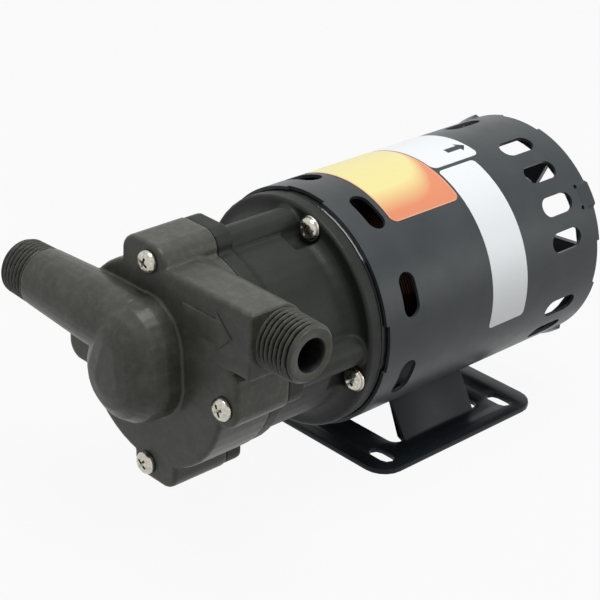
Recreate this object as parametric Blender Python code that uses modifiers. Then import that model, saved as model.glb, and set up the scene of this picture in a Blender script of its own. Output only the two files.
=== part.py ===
"""Inline magnetic-drive pump with its motor, as separate pieces in metres.

The origin lies on the underside of the base plate, midway between the two front mounting
slots. +Z is up, +X runs from the inlet to the outlet, and +Y runs from the pump head to the
rear of the motor. Pump and motor share one axis along Y, at x = 0 and z = AXIS_HEIGHT.
"""

from math import asin, atan2, cos, degrees, hypot, pi, radians, sin, sqrt

import bmesh
import bpy
from mathutils import Matrix, Vector

MM = 0.001

# Driving sizes shared by several pieces
GAP = 0.3 * MM  # assembly clearance between pieces that touch
AXIS_HEIGHT = 56.8 * MM  # motor axis above the underside of the base
BASE_SETBACK = 26.35 * MM  # front mounting slots behind the adaptor's motor flange
SHAFT_RADIUS = 4.0 * MM
SPINDLE_RADIUS = 3.0 * MM

# Motor shell and end bells
SHELL_RADIUS = 42.0 * MM
SHELL_WALL = 1.2 * MM
SHELL_LENGTH = 109.5 * MM
SHELL_INSET = 0.8 * MM  # the shell starts this far behind the front bell's face
BELL_PLATE = 2.7 * MM
BELL_LIP_WALL = 1.3 * MM
BELL_LIP_DEPTH = 6.0 * MM
BEARING_RADIUS = 8.0 * MM
BEARING_LENGTH = 9.0 * MM
BEARING_HOUSING_WALL = 3.4 * MM
REAR_BELL_INSET = 3.9 * MM
REAR_SPOKES = 6
REAR_SPOKE_WIDTH = 7.0 * MM
REAR_WINDOW_TURN = -25.0  # degrees from +X up to the middle of the first window
REAR_RIM = 3.6 * MM

# Vents and rim features of the shell
VENT_LENGTH = 15.5 * MM
VENT_WIDTH = 7.2 * MM
FRONT_VENT_OFFSET = 12.3 * MM  # from the shell's front edge to the row's middle
FRONT_VENT_PITCH = 43.2  # degrees; the wider gap at the end holds the shell's seam
FRONT_VENT_FIRST = -21.2
FRONT_VENTS = 8
REAR_VENT_OFFSET = 17.5 * MM  # from the shell's rear edge to the row's middle
REAR_VENT_PITCH = 18.0
REAR_VENTS_IN_GROUP = 4
RIM_NOTCH_ANGLE = 23.5
RIM_NOTCH_DEPTH = 1.2 * MM
CRIMP_ANGLE = 35.5
CRIMP_WIDTH = 8.0 * MM
CRIMP_LENGTH = 6.0 * MM
CRIMP_RISE = 0.8 * MM

# Stator, rotor and fan
STACK_LENGTH = 32.0 * MM
STACK_OFFSET = 31.5 * MM  # from the shell's front edge to the stator stack
STATOR_BORE = SHELL_RADIUS / 2
STATOR_YOKE = 10.0 * MM  # from the bottom of a slot to the shell
STATOR_SLOTS = 12
STATOR_TOOTH_TIP = 2.2 * MM
STATOR_SLOT_OUTER = SHELL_RADIUS - STATOR_YOKE
STATOR_SLOT_INNER = STATOR_BORE + STATOR_TOOTH_TIP
STATOR_SLOT_WIDTH = 5.4 * MM
STATOR_SLOT_MOUTH = 2.0 * MM
END_TURN_LENGTH = 10.5 * MM
AIR_GAP = 0.4 * MM
ROTOR_SEAT_RADIUS = 5.5 * MM
END_RING_LENGTH = 3.0 * MM
FAN_TIP_CLEARANCE = 3.3 * MM
FAN_RADIUS = SHELL_RADIUS - SHELL_WALL - FAN_TIP_CLEARANCE
FAN_HUB_RADIUS = 9.0 * MM
FAN_HUB_LENGTH = 11.0 * MM
FAN_BLADES = 6
FAN_BLADE_CHORD = 15.0 * MM
FAN_BLADE_WALL = 1.4 * MM
FAN_PITCH = 38.0  # degrees between a blade and the plane of the fan

# Lead exit on the side away from the outlet
LEAD_ANGLE = 216.0
LEAD_OFFSET = 23.5 * MM
LEAD_HOLE_RADIUS = 4.5 * MM
LEAD_BORE_RADIUS = 2.4 * MM
GROMMET_FLANGE = 6.3 * MM
GROMMET_LIP = 1.6 * MM

# Motor adaptor
FLANGE_STEP = 1.3 * MM  # the flange is this much smaller in radius than the shell
FLANGE_WIDTH = 7.1 * MM  # from the barrel out to the flange's rim
FLANGE_RADIUS = SHELL_RADIUS - FLANGE_STEP
FLANGE_THICKNESS = 5.4 * MM
FLANGE_FILLET = 4.5 * MM
BARREL_RADIUS = FLANGE_RADIUS - FLANGE_WIDTH
BARREL_LENGTH = 30.3 * MM
BARREL_WALL = 3.9 * MM
EAR_THICKNESS = 6.4 * MM
RIB_RADIUS = 5.7 * MM
ADAPTOR_SCREW_EDGE = 4.4 * MM  # from a screw's axis to the flange's rim
ADAPTOR_SCREW_CIRCLE = FLANGE_RADIUS - ADAPTOR_SCREW_EDGE
ADAPTOR_SCREW_ANGLE = 73.0
ADAPTOR_SCREW_RADIUS = 2.4 * MM
ADAPTOR_SCREW_LENGTH = 12.0 * MM
ADAPTOR_SCREW_HEAD = 4.3 * MM
SCREW_POCKET_DEPTH = 9.0 * MM

# Front casing
CASING_DEPTH = 22.0 * MM
BODY_STEP = 1.7 * MM  # the casing's body is this much larger in radius than the barrel
BODY_RADIUS = BARREL_RADIUS + BODY_STEP
EDGE_ROUND = 1.2 * MM
LUG_HEIGHT = 6.6 * MM
LUG_REACH = BODY_RADIUS + LUG_HEIGHT
LUG_CORNER = 6.0 * MM
LUG_LEADING = 7.0 * MM
LUG_TRAILING = 13.8 * MM
COVER_SCREW_EDGE = 5.8 * MM  # from a screw's axis to its lug's edge
COVER_SCREW_CIRCLE = LUG_REACH - COVER_SCREW_EDGE
COVER_SCREW_RADIUS = 1.75 * MM
RIB_SINK = 3.1 * MM  # the ribs' circle inside that of the cover screws
RIB_CIRCLE = COVER_SCREW_CIRCLE - RIB_SINK
COVER_SCREW_HEAD = 3.9 * MM
COVER_SCREW_ENGAGEMENT = 13.0 * MM
PORT_BORE = 5.4 * MM
THREAD_RADIUS = 10.2 * MM  # crest of the 1/2 NPT thread at its large end
THREAD_TAPER = 1 / 32  # of radius to length
THREAD_LENGTH = 12.4 * MM
THREAD_CHAMFER = 1.0 * MM
OUTLET_SINK = 10.6 * MM  # outlet axis below the top of the casing's body
NOZZLE_HALF = 11.2 * MM  # half the height of the outlet's block
OUTLET_RISE = BODY_RADIUS - OUTLET_SINK
OUTLET_SETBACK = 12.0 * MM  # outlet axis behind the casing's face
OUTLET_REACH = 60.8 * MM
NOZZLE_RADIUS = 9.7 * MM
NOZZLE_TOP = OUTLET_RISE + NOZZLE_HALF
NOZZLE_BOTTOM = OUTLET_RISE - NOZZLE_HALF
NOZZLE_CORNER = 1.5 * MM
INLET_RISE = 13.7 * MM
INLET_STANDOFF = 4.7 * MM  # inlet axis ahead of the casing's face
INLET_REACH = 60.3 * MM
INLET_TUBE_RADIUS = 11.8 * MM
INLET_NECK_RADIUS = 10.3 * MM
BULB_RADIUS = 17.3 * MM
BULB_SHOULDER_RADIUS = 15.0 * MM
BULB_SHOULDER_RISE = 10.2 * MM
BULB_SHOULDER_SIDE = 1.2 * MM
BULB_ROUND = 12.0 * MM
BULB_CROWN = 0.9 * MM  # the bulb stands this far ahead of the tube
ELBOW_FILLET = 7.0 * MM
CHAMBER_WALL = 10.1 * MM
CHAMBER_RADIUS = BODY_RADIUS - CHAMBER_WALL
CHAMBER_DEPTH = 13.5 * MM
EYE_RADIUS = 7.5 * MM
SPIDER_HUB_RADIUS = 4.6 * MM
SPIDER_LENGTH = 7.5 * MM
SPIDER_RIBS = 3
SPIDER_RIB_WIDTH = 2.0 * MM
SEAT_DEPTH = 5.0 * MM
SEAL_SINK = 6.4 * MM
SEAL_CIRCLE = BODY_RADIUS - SEAL_SINK
SEAL_SECTION = 2.0 * MM

# Isolation can, impeller and magnets
CAN_FLANGE_SINK = 3.8 * MM
CAN_FLANGE_RADIUS = BODY_RADIUS - CAN_FLANGE_SINK
CAN_FLANGE = 2.8 * MM
CAN_WALL = 2.2 * MM
CAN_DEPTH = 27.7 * MM  # from the flange's front face to the inside of the closed end
CAN_BOSS_RADIUS = 6.5 * MM
CAN_BOSS_LENGTH = 2.6 * MM
WASHER_THICKNESS = 1.2 * MM
WASHER_RADIUS = 5.6 * MM
BUSH_WALL = 2.0 * MM
IMPELLER_TIP_CLEARANCE = 1.7 * MM
IMPELLER_RADIUS = CHAMBER_RADIUS - IMPELLER_TIP_CLEARANCE
IMPELLER_HUB_WALL = 2.2 * MM
SHROUD_THICKNESS = 2.2 * MM
SHROUD_CLEARANCE = 1.3 * MM
VANES = 6
VANE_WALL = 1.8 * MM
VANE_SWEEP = 62.0
INNER_MAGNET_CLEARANCE = 1.7 * MM
INNER_MAGNET_LENGTH = 21.0 * MM
DRIVE_MAGNET_CLEARANCE = 1.0 * MM
DRIVE_MAGNET_WALL = 3.4 * MM
DRIVE_MAGNET_LENGTH = 22.0 * MM
CUP_WALL = 2.1 * MM
CUP_TIP_CLEARANCE = 1.7 * MM  # between the cup and the barrel
CUP_LENGTH = 28.0 * MM
CUP_HUB_RADIUS = 9.0 * MM
CUP_HUB_LENGTH = 7.0 * MM
CUP_CLEARANCE = 1.1 * MM  # between the can's closed end and the cup's web
SET_SCREW_RADIUS = 1.9 * MM
CUP_RADIUS = BARREL_RADIUS - BARREL_WALL - CUP_TIP_CLEARANCE
DRIVE_MAGNET_RADIUS = CUP_RADIUS - CUP_WALL - GAP
DRIVE_MAGNET_BORE = DRIVE_MAGNET_RADIUS - DRIVE_MAGNET_WALL
CAN_INNER_RADIUS = DRIVE_MAGNET_BORE - DRIVE_MAGNET_CLEARANCE - CAN_WALL
INNER_MAGNET_RADIUS = CAN_INNER_RADIUS - INNER_MAGNET_CLEARANCE

# Base bracket
BASE_WIDTH = 69.3 * MM
BASE_LENGTH = 82.2 * MM
BASE_FRONT = 9.35 * MM  # from the front slots to the plate's front edge
BASE_CORNER = 8.5 * MM
SHEET = 2.0 * MM
SLOT_SPACING_X = 49.4 * MM
SLOT_SPACING_Y = 62.0 * MM
SLOT_LENGTH = 10.5 * MM
SLOT_WIDTH = 5.6 * MM
WINDOW_WIDTH = 45.2 * MM
WINDOW_LENGTH = 45.0 * MM
WINDOW_CORNER = 3.5 * MM
WINDOW_FRONT = 8.8 * MM
WING_LENGTH = 36.0 * MM
WING_FRONT = 12.9 * MM
WING_SADDLE_FROM = 19.5  # degrees round the shell from its lowest line
WING_SADDLE_TO = 7.0
WING_BEND = 3.0 * MM

# Facets of round shapes
FINE_STEPS = 48
MEDIUM_STEPS = 28
SMALL_STEPS = 12
HIDDEN_STEPS = 20

# Places along the axis that several pieces share
FLANGE_Y = -BASE_SETBACK
FLANGE_BACK = FLANGE_Y + FLANGE_THICKNESS
BELL_Y = FLANGE_BACK + GAP
SHELL_Y = BELL_Y + SHELL_INSET
SHELL_END = SHELL_Y + SHELL_LENGTH
SHELL_INNER = SHELL_RADIUS - SHELL_WALL
BELL_RADIUS = SHELL_INNER - GAP
EAR_Y = FLANGE_Y - BARREL_LENGTH - EAR_THICKNESS
SEAM_Y = EAR_Y - GAP
FACE_Y = SEAM_Y - CASING_DEPTH
CHAMBER_Y = SEAM_Y - CHAMBER_DEPTH
CAN_CLOSED_Y = EAR_Y + CAN_DEPTH
CUP_WEB_Y = CAN_CLOSED_Y + CAN_WALL + CUP_CLEARANCE
STACK_Y = SHELL_Y + STACK_OFFSET
STACK_END = STACK_Y + STACK_LENGTH
REAR_BELL_END = SHELL_END - REAR_BELL_INSET
REAR_BEARING_Y = REAR_BELL_END - BELL_PLATE - BEARING_LENGTH
FAN_Y = REAR_BEARING_Y - GAP - FAN_HUB_LENGTH - CUP_CLEARANCE
INLET_Y = FACE_Y - INLET_STANDOFF
OUTLET_Y = FACE_Y + OUTLET_SETBACK
FRONT_BORE = SHAFT_RADIUS + GAP


def collection(name):
    made = bpy.data.collections.new(name)
    bpy.context.scene.collection.children.link(made)
    return made


def clear_scene():
    for obj in list(bpy.data.objects):
        bpy.data.objects.remove(obj)


def material(name, colour, roughness, metallic=0.0):
    """A plain Principled material; colour is linear RGB."""
    made = bpy.data.materials.new(name)
    made.use_nodes = True
    shader = made.node_tree.nodes["Principled BSDF"]
    shader.inputs["Base Color"].default_value = (*colour, 1.0)
    shader.inputs["Roughness"].default_value = roughness
    shader.inputs["Metallic"].default_value = metallic
    return made


clear_scene()
PARTS = collection("inline_pump")
CUTTERS = collection("cutters")

GLASS_FILLED_PLASTIC = material("glass_filled_plastic", (0.040, 0.042, 0.036), 0.55)
BLACK_PLASTIC = material("black_plastic", (0.028, 0.030, 0.029), 0.45)
PALE_PLASTIC = material("pale_plastic", (0.55, 0.53, 0.47), 0.5)
BLACK_PAINT = material("black_paint", (0.020, 0.021, 0.021), 0.3, 0.0)
DARK_STEEL = material("dark_steel", (0.20, 0.20, 0.21), 0.4, 1.0)
BRIGHT_STEEL = material("bright_steel", (0.62, 0.61, 0.58), 0.25, 1.0)
SILICON_STEEL = material("silicon_steel", (0.30, 0.30, 0.31), 0.45, 1.0)
ENAMELLED_COPPER = material("enamelled_copper", (0.45, 0.20, 0.06), 0.35, 0.6)
CAST_ALUMINIUM = material("cast_aluminium", (0.55, 0.55, 0.56), 0.45, 1.0)
SINTERED_BRONZE = material("sintered_bronze", (0.45, 0.30, 0.15), 0.5, 1.0)
FERRITE = material("ferrite", (0.05, 0.05, 0.055), 0.6)
CERAMIC = material("ceramic", (0.80, 0.79, 0.74), 0.2)
CARBON = material("carbon", (0.03, 0.03, 0.03), 0.4)
RUBBER = material("rubber", (0.015, 0.015, 0.015), 0.7)


def finish(name, mesh, surface, cutter, matrix=None):
    """Makes an object of a mesh, in the parts or, as a cutter, out of every render."""
    obj = bpy.data.objects.new(name, mesh)
    if matrix is not None:
        obj.matrix_world = matrix
    if surface is not None:
        mesh.materials.append(surface)
    (CUTTERS if cutter else PARTS).objects.link(obj)
    if cutter:
        obj.hide_render = True
        obj.display_type = "WIRE"
    return obj


def smooth(mesh):
    mesh.shade_smooth()
    mesh.set_sharp_from_angle(angle=radians(35))


def on_axis(y):
    """Local Z along +Y and local X along +X, at a place on the motor axis."""
    return Matrix.Translation((0, y, AXIS_HEIGHT)) @ Matrix.Rotation(-pi / 2, 4, "X")


def along(origin, direction):
    """Local Z along a direction, at an origin."""
    turn = Vector((0, 0, 1)).rotation_difference(Vector(direction)).to_matrix().to_4x4()
    return Matrix.Translation(origin) @ turn


def arc(across, up, radius, start, end, steps):
    """Points of an arc round (across, up), with angles in degrees."""
    turns = [radians(start + (end - start) * i / steps) for i in range(steps + 1)]
    return [(across + radius * cos(a), up + radius * sin(a)) for a in turns]


def turned(name, profile, matrix, surface=None, steps=MEDIUM_STEPS, cutter=False):
    """Revolves a profile of (radius, station) points round the matrix's local Z axis."""
    area = sum(a[0] * b[1] - b[0] * a[1] for a, b in zip(profile, profile[1:] + profile[:1]))
    points = profile[::-1] if area > 0 else profile
    mesh = bpy.data.meshes.new(name)
    count = len(points)
    edges = [(i, (i + 1) % count) for i in range(count)]
    on_line = [e for e in edges if points[e[0]][0] > 0 or points[e[1]][0] > 0]
    mesh.from_pydata([(r, 0, s) for r, s in points], on_line, [])
    obj = finish(name, mesh, surface, cutter, matrix)
    screw = obj.modifiers.new("turn", "SCREW")
    screw.steps = steps
    screw.render_steps = steps
    screw.use_merge_vertices = True
    screw.merge_threshold = 0.00001
    screw.use_smooth_shade = True
    return obj


def disc(radius, start, end):
    """Profile of a solid cylinder."""
    return [(0, start), (radius, start), (radius, end), (0, end)]


def ring(inner, outer, start, end):
    """Profile of a tube."""
    return [(inner, start), (outer, start), (outer, end), (inner, end)]


def rod(name, start, end, radius, surface=None, steps=SMALL_STEPS, cutter=True):
    """A cylinder between two points."""
    start, end = Vector(start), Vector(end)
    mesh = bpy.data.meshes.new(name)
    shape = bmesh.new()
    length = (end - start).length
    bmesh.ops.create_cone(
        shape, cap_ends=True, segments=steps, radius1=radius, radius2=radius, depth=length
    )
    shape.to_mesh(mesh)
    shape.free()
    return finish(name, mesh, surface, cutter, along((start + end) / 2, end - start))


def block(name, low, high, matrix=None, surface=None, cutter=True):
    """A box between two corners, in the frame of the matrix."""
    mesh = bpy.data.meshes.new(name)
    shape = bmesh.new()
    size = [b - a for a, b in zip(low, high)]
    middle = [(a + b) / 2 for a, b in zip(low, high)]
    place = Matrix.Translation(middle) @ Matrix.Diagonal((*size, 1))
    bmesh.ops.create_cube(shape, size=1, matrix=place)
    shape.to_mesh(mesh)
    shape.free()
    return finish(name, mesh, surface, cutter, matrix)


def plate(name, outlines, start, end, matrix, surface=None, cutter=False):
    """Flat outlines, holes among them, filled and extruded along the matrix's local Z."""
    curve = bpy.data.curves.new(name, "CURVE")
    curve.dimensions = "2D"
    curve.fill_mode = "BOTH"
    curve.extrude = (end - start) / 2
    for outline in outlines:
        spline = curve.splines.new("POLY")
        spline.points.add(len(outline) - 1)
        for point, (x, y) in zip(spline.points, outline):
            point.co = (x, y, 0, 1)
        spline.use_cyclic_u = True
    flat = bpy.data.objects.new(name, curve)
    flat.matrix_world = matrix @ Matrix.Translation((0, 0, (start + end) / 2))
    CUTTERS.objects.link(flat)
    bpy.context.view_layer.update()
    graph = bpy.context.evaluated_depsgraph_get()
    mesh = bpy.data.meshes.new_from_object(flat.evaluated_get(graph))
    place = flat.matrix_world.copy()
    bpy.data.objects.remove(flat)
    shape = bmesh.new()
    shape.from_mesh(mesh)
    bmesh.ops.remove_doubles(shape, verts=shape.verts, dist=0.000001)
    bmesh.ops.recalc_face_normals(shape, faces=shape.faces)
    shape.to_mesh(mesh)
    shape.free()
    mesh.name = name
    return finish(name, mesh, surface, cutter, place)


def loft(name, rings, matrix, surface=None, cutter=True):
    """A closed skin through rings of equal point count, each a list of local points."""
    mesh = bpy.data.meshes.new(name)
    shape = bmesh.new()
    rows = [[shape.verts.new(point) for point in points] for points in rings]
    count = len(rows[0])
    for low, high in zip(rows, rows[1:]):
        for i in range(count):
            j = (i + 1) % count
            shape.faces.new((low[i], low[j], high[j], high[i]))
    shape.faces.new(rows[0][::-1])
    shape.faces.new(rows[-1])
    bmesh.ops.recalc_face_normals(shape, faces=shape.faces)
    shape.to_mesh(mesh)
    shape.free()
    smooth(mesh)
    return finish(name, mesh, surface, cutter, matrix)


def hull(circles, shrink=0.0, steps=MEDIUM_STEPS):
    """Outline of the band stretched round circles of (across, up, radius)."""
    points = []
    for i in range(steps):
        turn = 2 * pi * (i + 0.5) / steps
        c, s = cos(turn), sin(turn)
        across, up, radius = max(circles, key=lambda q: q[0] * c + q[1] * s + q[2])
        points.append((across + (radius - shrink) * c, up + (radius - shrink) * s))
    return points


def domed(name, circles, top, bottom, rounding, matrix, surface=None, steps=MEDIUM_STEPS, rows=4):
    """A stretched band of circles from top to bottom, with its top edge rounded."""
    rings = []
    for i in range(rows + 1):
        turn = pi / 2 * i / rows
        outline = hull(circles, rounding * (1 - sin(turn)), steps)
        rings.append([(x, y, top - rounding * (1 - cos(turn))) for x, y in outline])
    rings.append([(x, y, bottom) for x, y in hull(circles, 0, steps)])
    return loft(name, rings, matrix, surface)


def boolean(target, tool, operation="DIFFERENCE"):
    step = target.modifiers.new(tool.name, "BOOLEAN")
    step.operation = operation
    step.solver = "EXACT"
    step.object = tool
    return target


def cut(target, *tools):
    for tool in tools:
        boolean(target, tool)
    return target


def join(target, *tools):
    for tool in tools:
        boolean(target, tool, "UNION")
    return target


def merged(name, objects):
    """One mesh of separate closed shapes that don't touch, for use as one cutter."""
    shape = bmesh.new()
    for obj in objects:
        first = len(shape.verts)
        shape.from_mesh(obj.data)
        shape.verts.ensure_lookup_table()
        bmesh.ops.transform(shape, matrix=obj.matrix_world, verts=shape.verts[first:])
        bpy.data.objects.remove(obj)
    mesh = bpy.data.meshes.new(name)
    shape.to_mesh(mesh)
    shape.free()
    return finish(name, mesh, None, True)


def polar(radius, angle, y):
    """A point at a radius from the motor axis; 0 degrees is +X and 90 is up."""
    turn = radians(angle)
    return (radius * cos(turn), y, AXIS_HEIGHT + radius * sin(turn))


def facing(y):
    """Local X along +X, local Y up and local Z along -Y, with its origin on the axis."""
    return Matrix.Translation((0, y, AXIS_HEIGHT)) @ Matrix.Rotation(pi / 2, 4, "X")


def quarter(turns, circles):
    """Circles turned clockwise by quarter turns, as seen from the front."""
    for _ in range(turns):
        circles = [(up, -across, radius) for across, up, radius in circles]
    return circles


def lug_circles(shrink):
    """The screw lug at the top of the casing, before it is turned to the other three."""
    radius = LUG_CORNER
    high = LUG_REACH - LUG_CORNER
    low = BODY_RADIUS - 2 * LUG_CORNER
    left, right = LUG_CORNER - LUG_TRAILING, LUG_LEADING - LUG_CORNER
    corners = ((left, high), (right, high), (right, low), (left, low))
    return [(across, up, radius - shrink) for across, up in corners]


def front_casing():
    """Volute, tangential outlet and inlet elbow in one moulding, open at the rear."""
    top = arc(BODY_RADIUS - EDGE_ROUND, EDGE_ROUND, EDGE_ROUND, -90, 0, 3)
    profile = [(0, 0), *top, (BODY_RADIUS, CASING_DEPTH), (0, CASING_DEPTH)]
    casing = turned("front_casing", profile, on_axis(FACE_Y), GLASS_FILLED_PLASTIC, FINE_STEPS)
    join(casing, *elbow())
    front = facing(FACE_Y)
    for turn in range(4):
        circles = quarter(turn, lug_circles(0))
        name = f"casing_lug_{turn + 1}"
        lug = domed(name, circles, 0, -CASING_DEPTH, EDGE_ROUND, front, steps=20, rows=2)
        join(casing, lug)
    join(casing, nozzle_block(), outlet_nipple())
    cut(casing, *water_ways())
    for number in range(4):
        seat = polar(COVER_SCREW_CIRCLE, 90 * number, FACE_Y - CASING_DEPTH)
        back = polar(COVER_SCREW_CIRCLE, 90 * number, SEAM_Y + CASING_DEPTH)
        radius = COVER_SCREW_RADIUS + GAP
        cut(casing, rod(f"cover_screw_hole_{number + 1}", seat, back, radius))
    # The screw behind the inlet tube gets room for its head.
    start = polar(COVER_SCREW_CIRCLE, 180, FACE_Y - GAP / 2)
    end = polar(COVER_SCREW_CIRCLE, 180, FACE_Y - INLET_STANDOFF)
    cut(casing, rod("screw_head_relief", start, end, COVER_SCREW_HEAD + 2 * GAP, steps=16))
    join(casing, spider())
    return casing


def nozzle_block():
    """The square-shouldered block that carries the outlet, rounded at the back."""
    front = NOZZLE_CORNER - CASING_DEPTH / 2
    back = OUTLET_SETBACK - CASING_DEPTH / 2
    circles = [
        (front, NOZZLE_TOP - NOZZLE_CORNER, NOZZLE_CORNER),
        (front, NOZZLE_BOTTOM + NOZZLE_CORNER, NOZZLE_CORNER),
        (back, NOZZLE_TOP - NOZZLE_RADIUS, NOZZLE_RADIUS),
        (back, NOZZLE_BOTTOM + NOZZLE_RADIUS, NOZZLE_RADIUS),
    ]
    middle = FACE_Y + CASING_DEPTH / 2
    # Local X runs along +Y, local Y up and local Z along +X.
    turn = Matrix(((0, 0, 1, 0), (1, 0, 0, 0), (0, 1, 0, 0), (0, 0, 0, 1)))
    matrix = Matrix.Translation((0, middle, AXIS_HEIGHT)) @ turn
    end = OUTLET_REACH - THREAD_LENGTH
    return domed_block("nozzle_block", circles, -LUG_CORNER / 2, end, matrix)


def domed_block(name, circles, start, end, matrix):
    """A stretched band of circles along local Z with a small round at its far end."""
    rings = [[(x, y, start) for x, y in hull(circles)]]
    small = NOZZLE_CORNER / 2
    for i in range(3):
        turn = pi / 2 * i / 2
        outline = hull(circles, small * (1 - cos(turn)))
        rings.append([(x, y, end - small * (1 - sin(turn))) for x, y in outline])
    return loft(name, rings, matrix)


def nipple_profile(root, length):
    """A male taper thread's envelope, from inside its root to its chamfered tip."""
    tip = THREAD_RADIUS - THREAD_TAPER * THREAD_LENGTH
    chamfer = THREAD_CHAMFER
    return [
        (0, -root),
        (THREAD_RADIUS, -root),
        (THREAD_RADIUS, 0),
        (tip + THREAD_TAPER * chamfer, length - chamfer),
        (tip - chamfer / 2, length),
        (0, length),
    ]


def outlet_nipple():
    base = (OUTLET_REACH - THREAD_LENGTH, OUTLET_Y, AXIS_HEIGHT + OUTLET_RISE)
    profile = nipple_profile(CASING_DEPTH / 2, THREAD_LENGTH)
    return turned("outlet_nipple", profile, along(base, (1, 0, 0)), None, MEDIUM_STEPS, True)


def elbow():
    """Inlet tube across the face, ending in a bulb over the pump's eye."""
    neck = INLET_REACH - THREAD_LENGTH
    tip = THREAD_RADIUS - THREAD_TAPER * THREAD_LENGTH
    profile = [
        (0, 0),
        (INLET_TUBE_RADIUS, 0),
        (INLET_TUBE_RADIUS, BODY_RADIUS / 2),
        (INLET_NECK_RADIUS, neck),
        (THREAD_RADIUS, neck + GAP),
        (tip + THREAD_TAPER * THREAD_CHAMFER, INLET_REACH - THREAD_CHAMFER),
        (tip - THREAD_CHAMFER / 2, INLET_REACH),
        (0, INLET_REACH),
    ]
    origin = (0, INLET_Y, AXIS_HEIGHT + INLET_RISE)
    tube = turned("inlet_tube", profile, along(origin, (-1, 0, 0)), None, MEDIUM_STEPS, True)
    circles = [
        (0, 0, BULB_RADIUS),
        (BULB_SHOULDER_SIDE, BULB_SHOULDER_RISE, BULB_SHOULDER_RADIUS),
    ]
    crown = INLET_STANDOFF + INLET_TUBE_RADIUS + BULB_CROWN
    front = facing(FACE_Y)
    bulb = domed("inlet_bulb", circles, crown, -EDGE_ROUND, BULB_ROUND, front)
    # The inside of the bend is filled by a concave corner that crosses both walls steeply.
    middle = (-BULB_RADIUS - ELBOW_FILLET, INLET_RISE - INLET_TUBE_RADIUS - ELBOW_FILLET)
    corner = (middle[0] + 2 * ELBOW_FILLET, middle[1] + 2 * ELBOW_FILLET)
    outline = [corner, (middle[0], corner[1])]
    outline += arc(*middle, ELBOW_FILLET, 72, 18, 4)
    outline.append((corner[0], middle[1]))
    top = INLET_STANDOFF + INLET_TUBE_RADIUS / 4
    fillet = plate("elbow_fillet", [outline], -EDGE_ROUND, top, front, cutter=True)
    return tube, bulb, fillet


def water_ways():
    """Everything that the water runs through, from the inlet to the outlet."""
    axis = AXIS_HEIGHT
    chamber = turned(
        "pump_chamber",
        disc(CHAMBER_RADIUS, 0, CASING_DEPTH),
        on_axis(CHAMBER_Y),
        None,
        HIDDEN_STEPS,
        True,
    )
    groove_wall = SEAL_SECTION / 2 + GAP
    groove = turned(
        "seal_groove",
        ring(SEAL_CIRCLE - groove_wall, SEAL_CIRCLE + groove_wall, 0, CASING_DEPTH),
        on_axis(SEAM_Y - SEAL_SECTION),
        None,
        HIDDEN_STEPS,
        True,
    )
    eye = rod(
        "pump_eye",
        (0, CHAMBER_Y - SPIDER_LENGTH - 2 * EDGE_ROUND, axis),
        (0, CHAMBER_Y + EDGE_ROUND, axis),
        EYE_RADIUS,
        steps=16,
    )
    passage = [(0, 0, PORT_BORE + EDGE_ROUND), (0, INLET_RISE, PORT_BORE)]
    low = FACE_Y + EDGE_ROUND + SPIDER_LENGTH - CHAMBER_Y
    high = INLET_STANDOFF + PORT_BORE + EDGE_ROUND
    turn = domed("elbow_passage", passage, high, low, PORT_BORE / 2, facing(FACE_Y), rows=3)
    inlet = rod(
        "inlet_bore",
        (0, INLET_Y, axis + INLET_RISE),
        (-INLET_REACH - EDGE_ROUND, INLET_Y, axis + INLET_RISE),
        PORT_BORE,
        steps=16,
    )
    outlet = rod(
        "outlet_bore",
        (0, OUTLET_Y, axis + OUTLET_RISE),
        (OUTLET_REACH + EDGE_ROUND, OUTLET_Y, axis + OUTLET_RISE),
        PORT_BORE,
        steps=16,
    )
    return chamber, groove, eye, turn, inlet, outlet


def spider():
    """Front support of the spindle: a hub with a blind seat, held by ribs in the eye."""
    seat = SPINDLE_RADIUS + GAP
    front = SPIDER_LENGTH
    profile = [
        (0, -front),
        (SPIDER_HUB_RADIUS / 2, -front),
        (SPIDER_HUB_RADIUS, SPIDER_HUB_RADIUS / 2 - front),
        (SPIDER_HUB_RADIUS, 0),
        (seat, 0),
        (seat, -SEAT_DEPTH),
        (0, -SEAT_DEPTH),
    ]
    hub = turned("spider_hub", profile, on_axis(CHAMBER_Y), None, 24, True)
    half = SPIDER_RIB_WIDTH / 2
    for number in range(SPIDER_RIBS):
        turn = Matrix.Rotation(2 * pi * (number + 0.5) / SPIDER_RIBS, 4, "Z")
        low = (SPIDER_HUB_RADIUS - half / 2, -half, -SEAT_DEPTH)
        high = (EYE_RADIUS + half, half, -half)
        rib = block(f"spider_rib_{number + 1}", low, high, on_axis(CHAMBER_Y) @ turn)
        join(hub, rib)
    return hub


def casing_o_ring():
    radius = SEAL_SECTION / 2 - GAP / 3
    section = arc(SEAL_CIRCLE, 0, radius, 0, 360, 6)[:-1]
    place = on_axis(SEAM_Y - SEAL_SECTION / 2 + GAP / 2)
    return turned("casing_o_ring", section, place, RUBBER, HIDDEN_STEPS)


def rear_housing():
    """The isolation can: a thin closed cup between the wet and the dry magnets."""
    outer = CAN_INNER_RADIUS + CAN_WALL
    inside = CAN_DEPTH
    seat = SPINDLE_RADIUS + GAP
    boss = inside - CAN_BOSS_LENGTH
    profile = [
        (CAN_INNER_RADIUS, 0),
        (CAN_FLANGE_RADIUS, 0),
        (CAN_FLANGE_RADIUS, CAN_FLANGE),
        (outer, CAN_FLANGE),
        *arc(outer - CAN_WALL, inside, CAN_WALL, 0, 90, 3),
        (0, inside + CAN_WALL),
        (0, boss + CAN_BOSS_LENGTH * 0.8),
        (seat, boss + CAN_BOSS_LENGTH * 0.8),
        (seat, boss),
        (CAN_BOSS_RADIUS, boss),
        (CAN_BOSS_RADIUS, inside),
        (CAN_INNER_RADIUS, inside),
    ]
    return turned("rear_housing", profile, on_axis(EAR_Y), GLASS_FILLED_PLASTIC, HIDDEN_STEPS)


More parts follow.
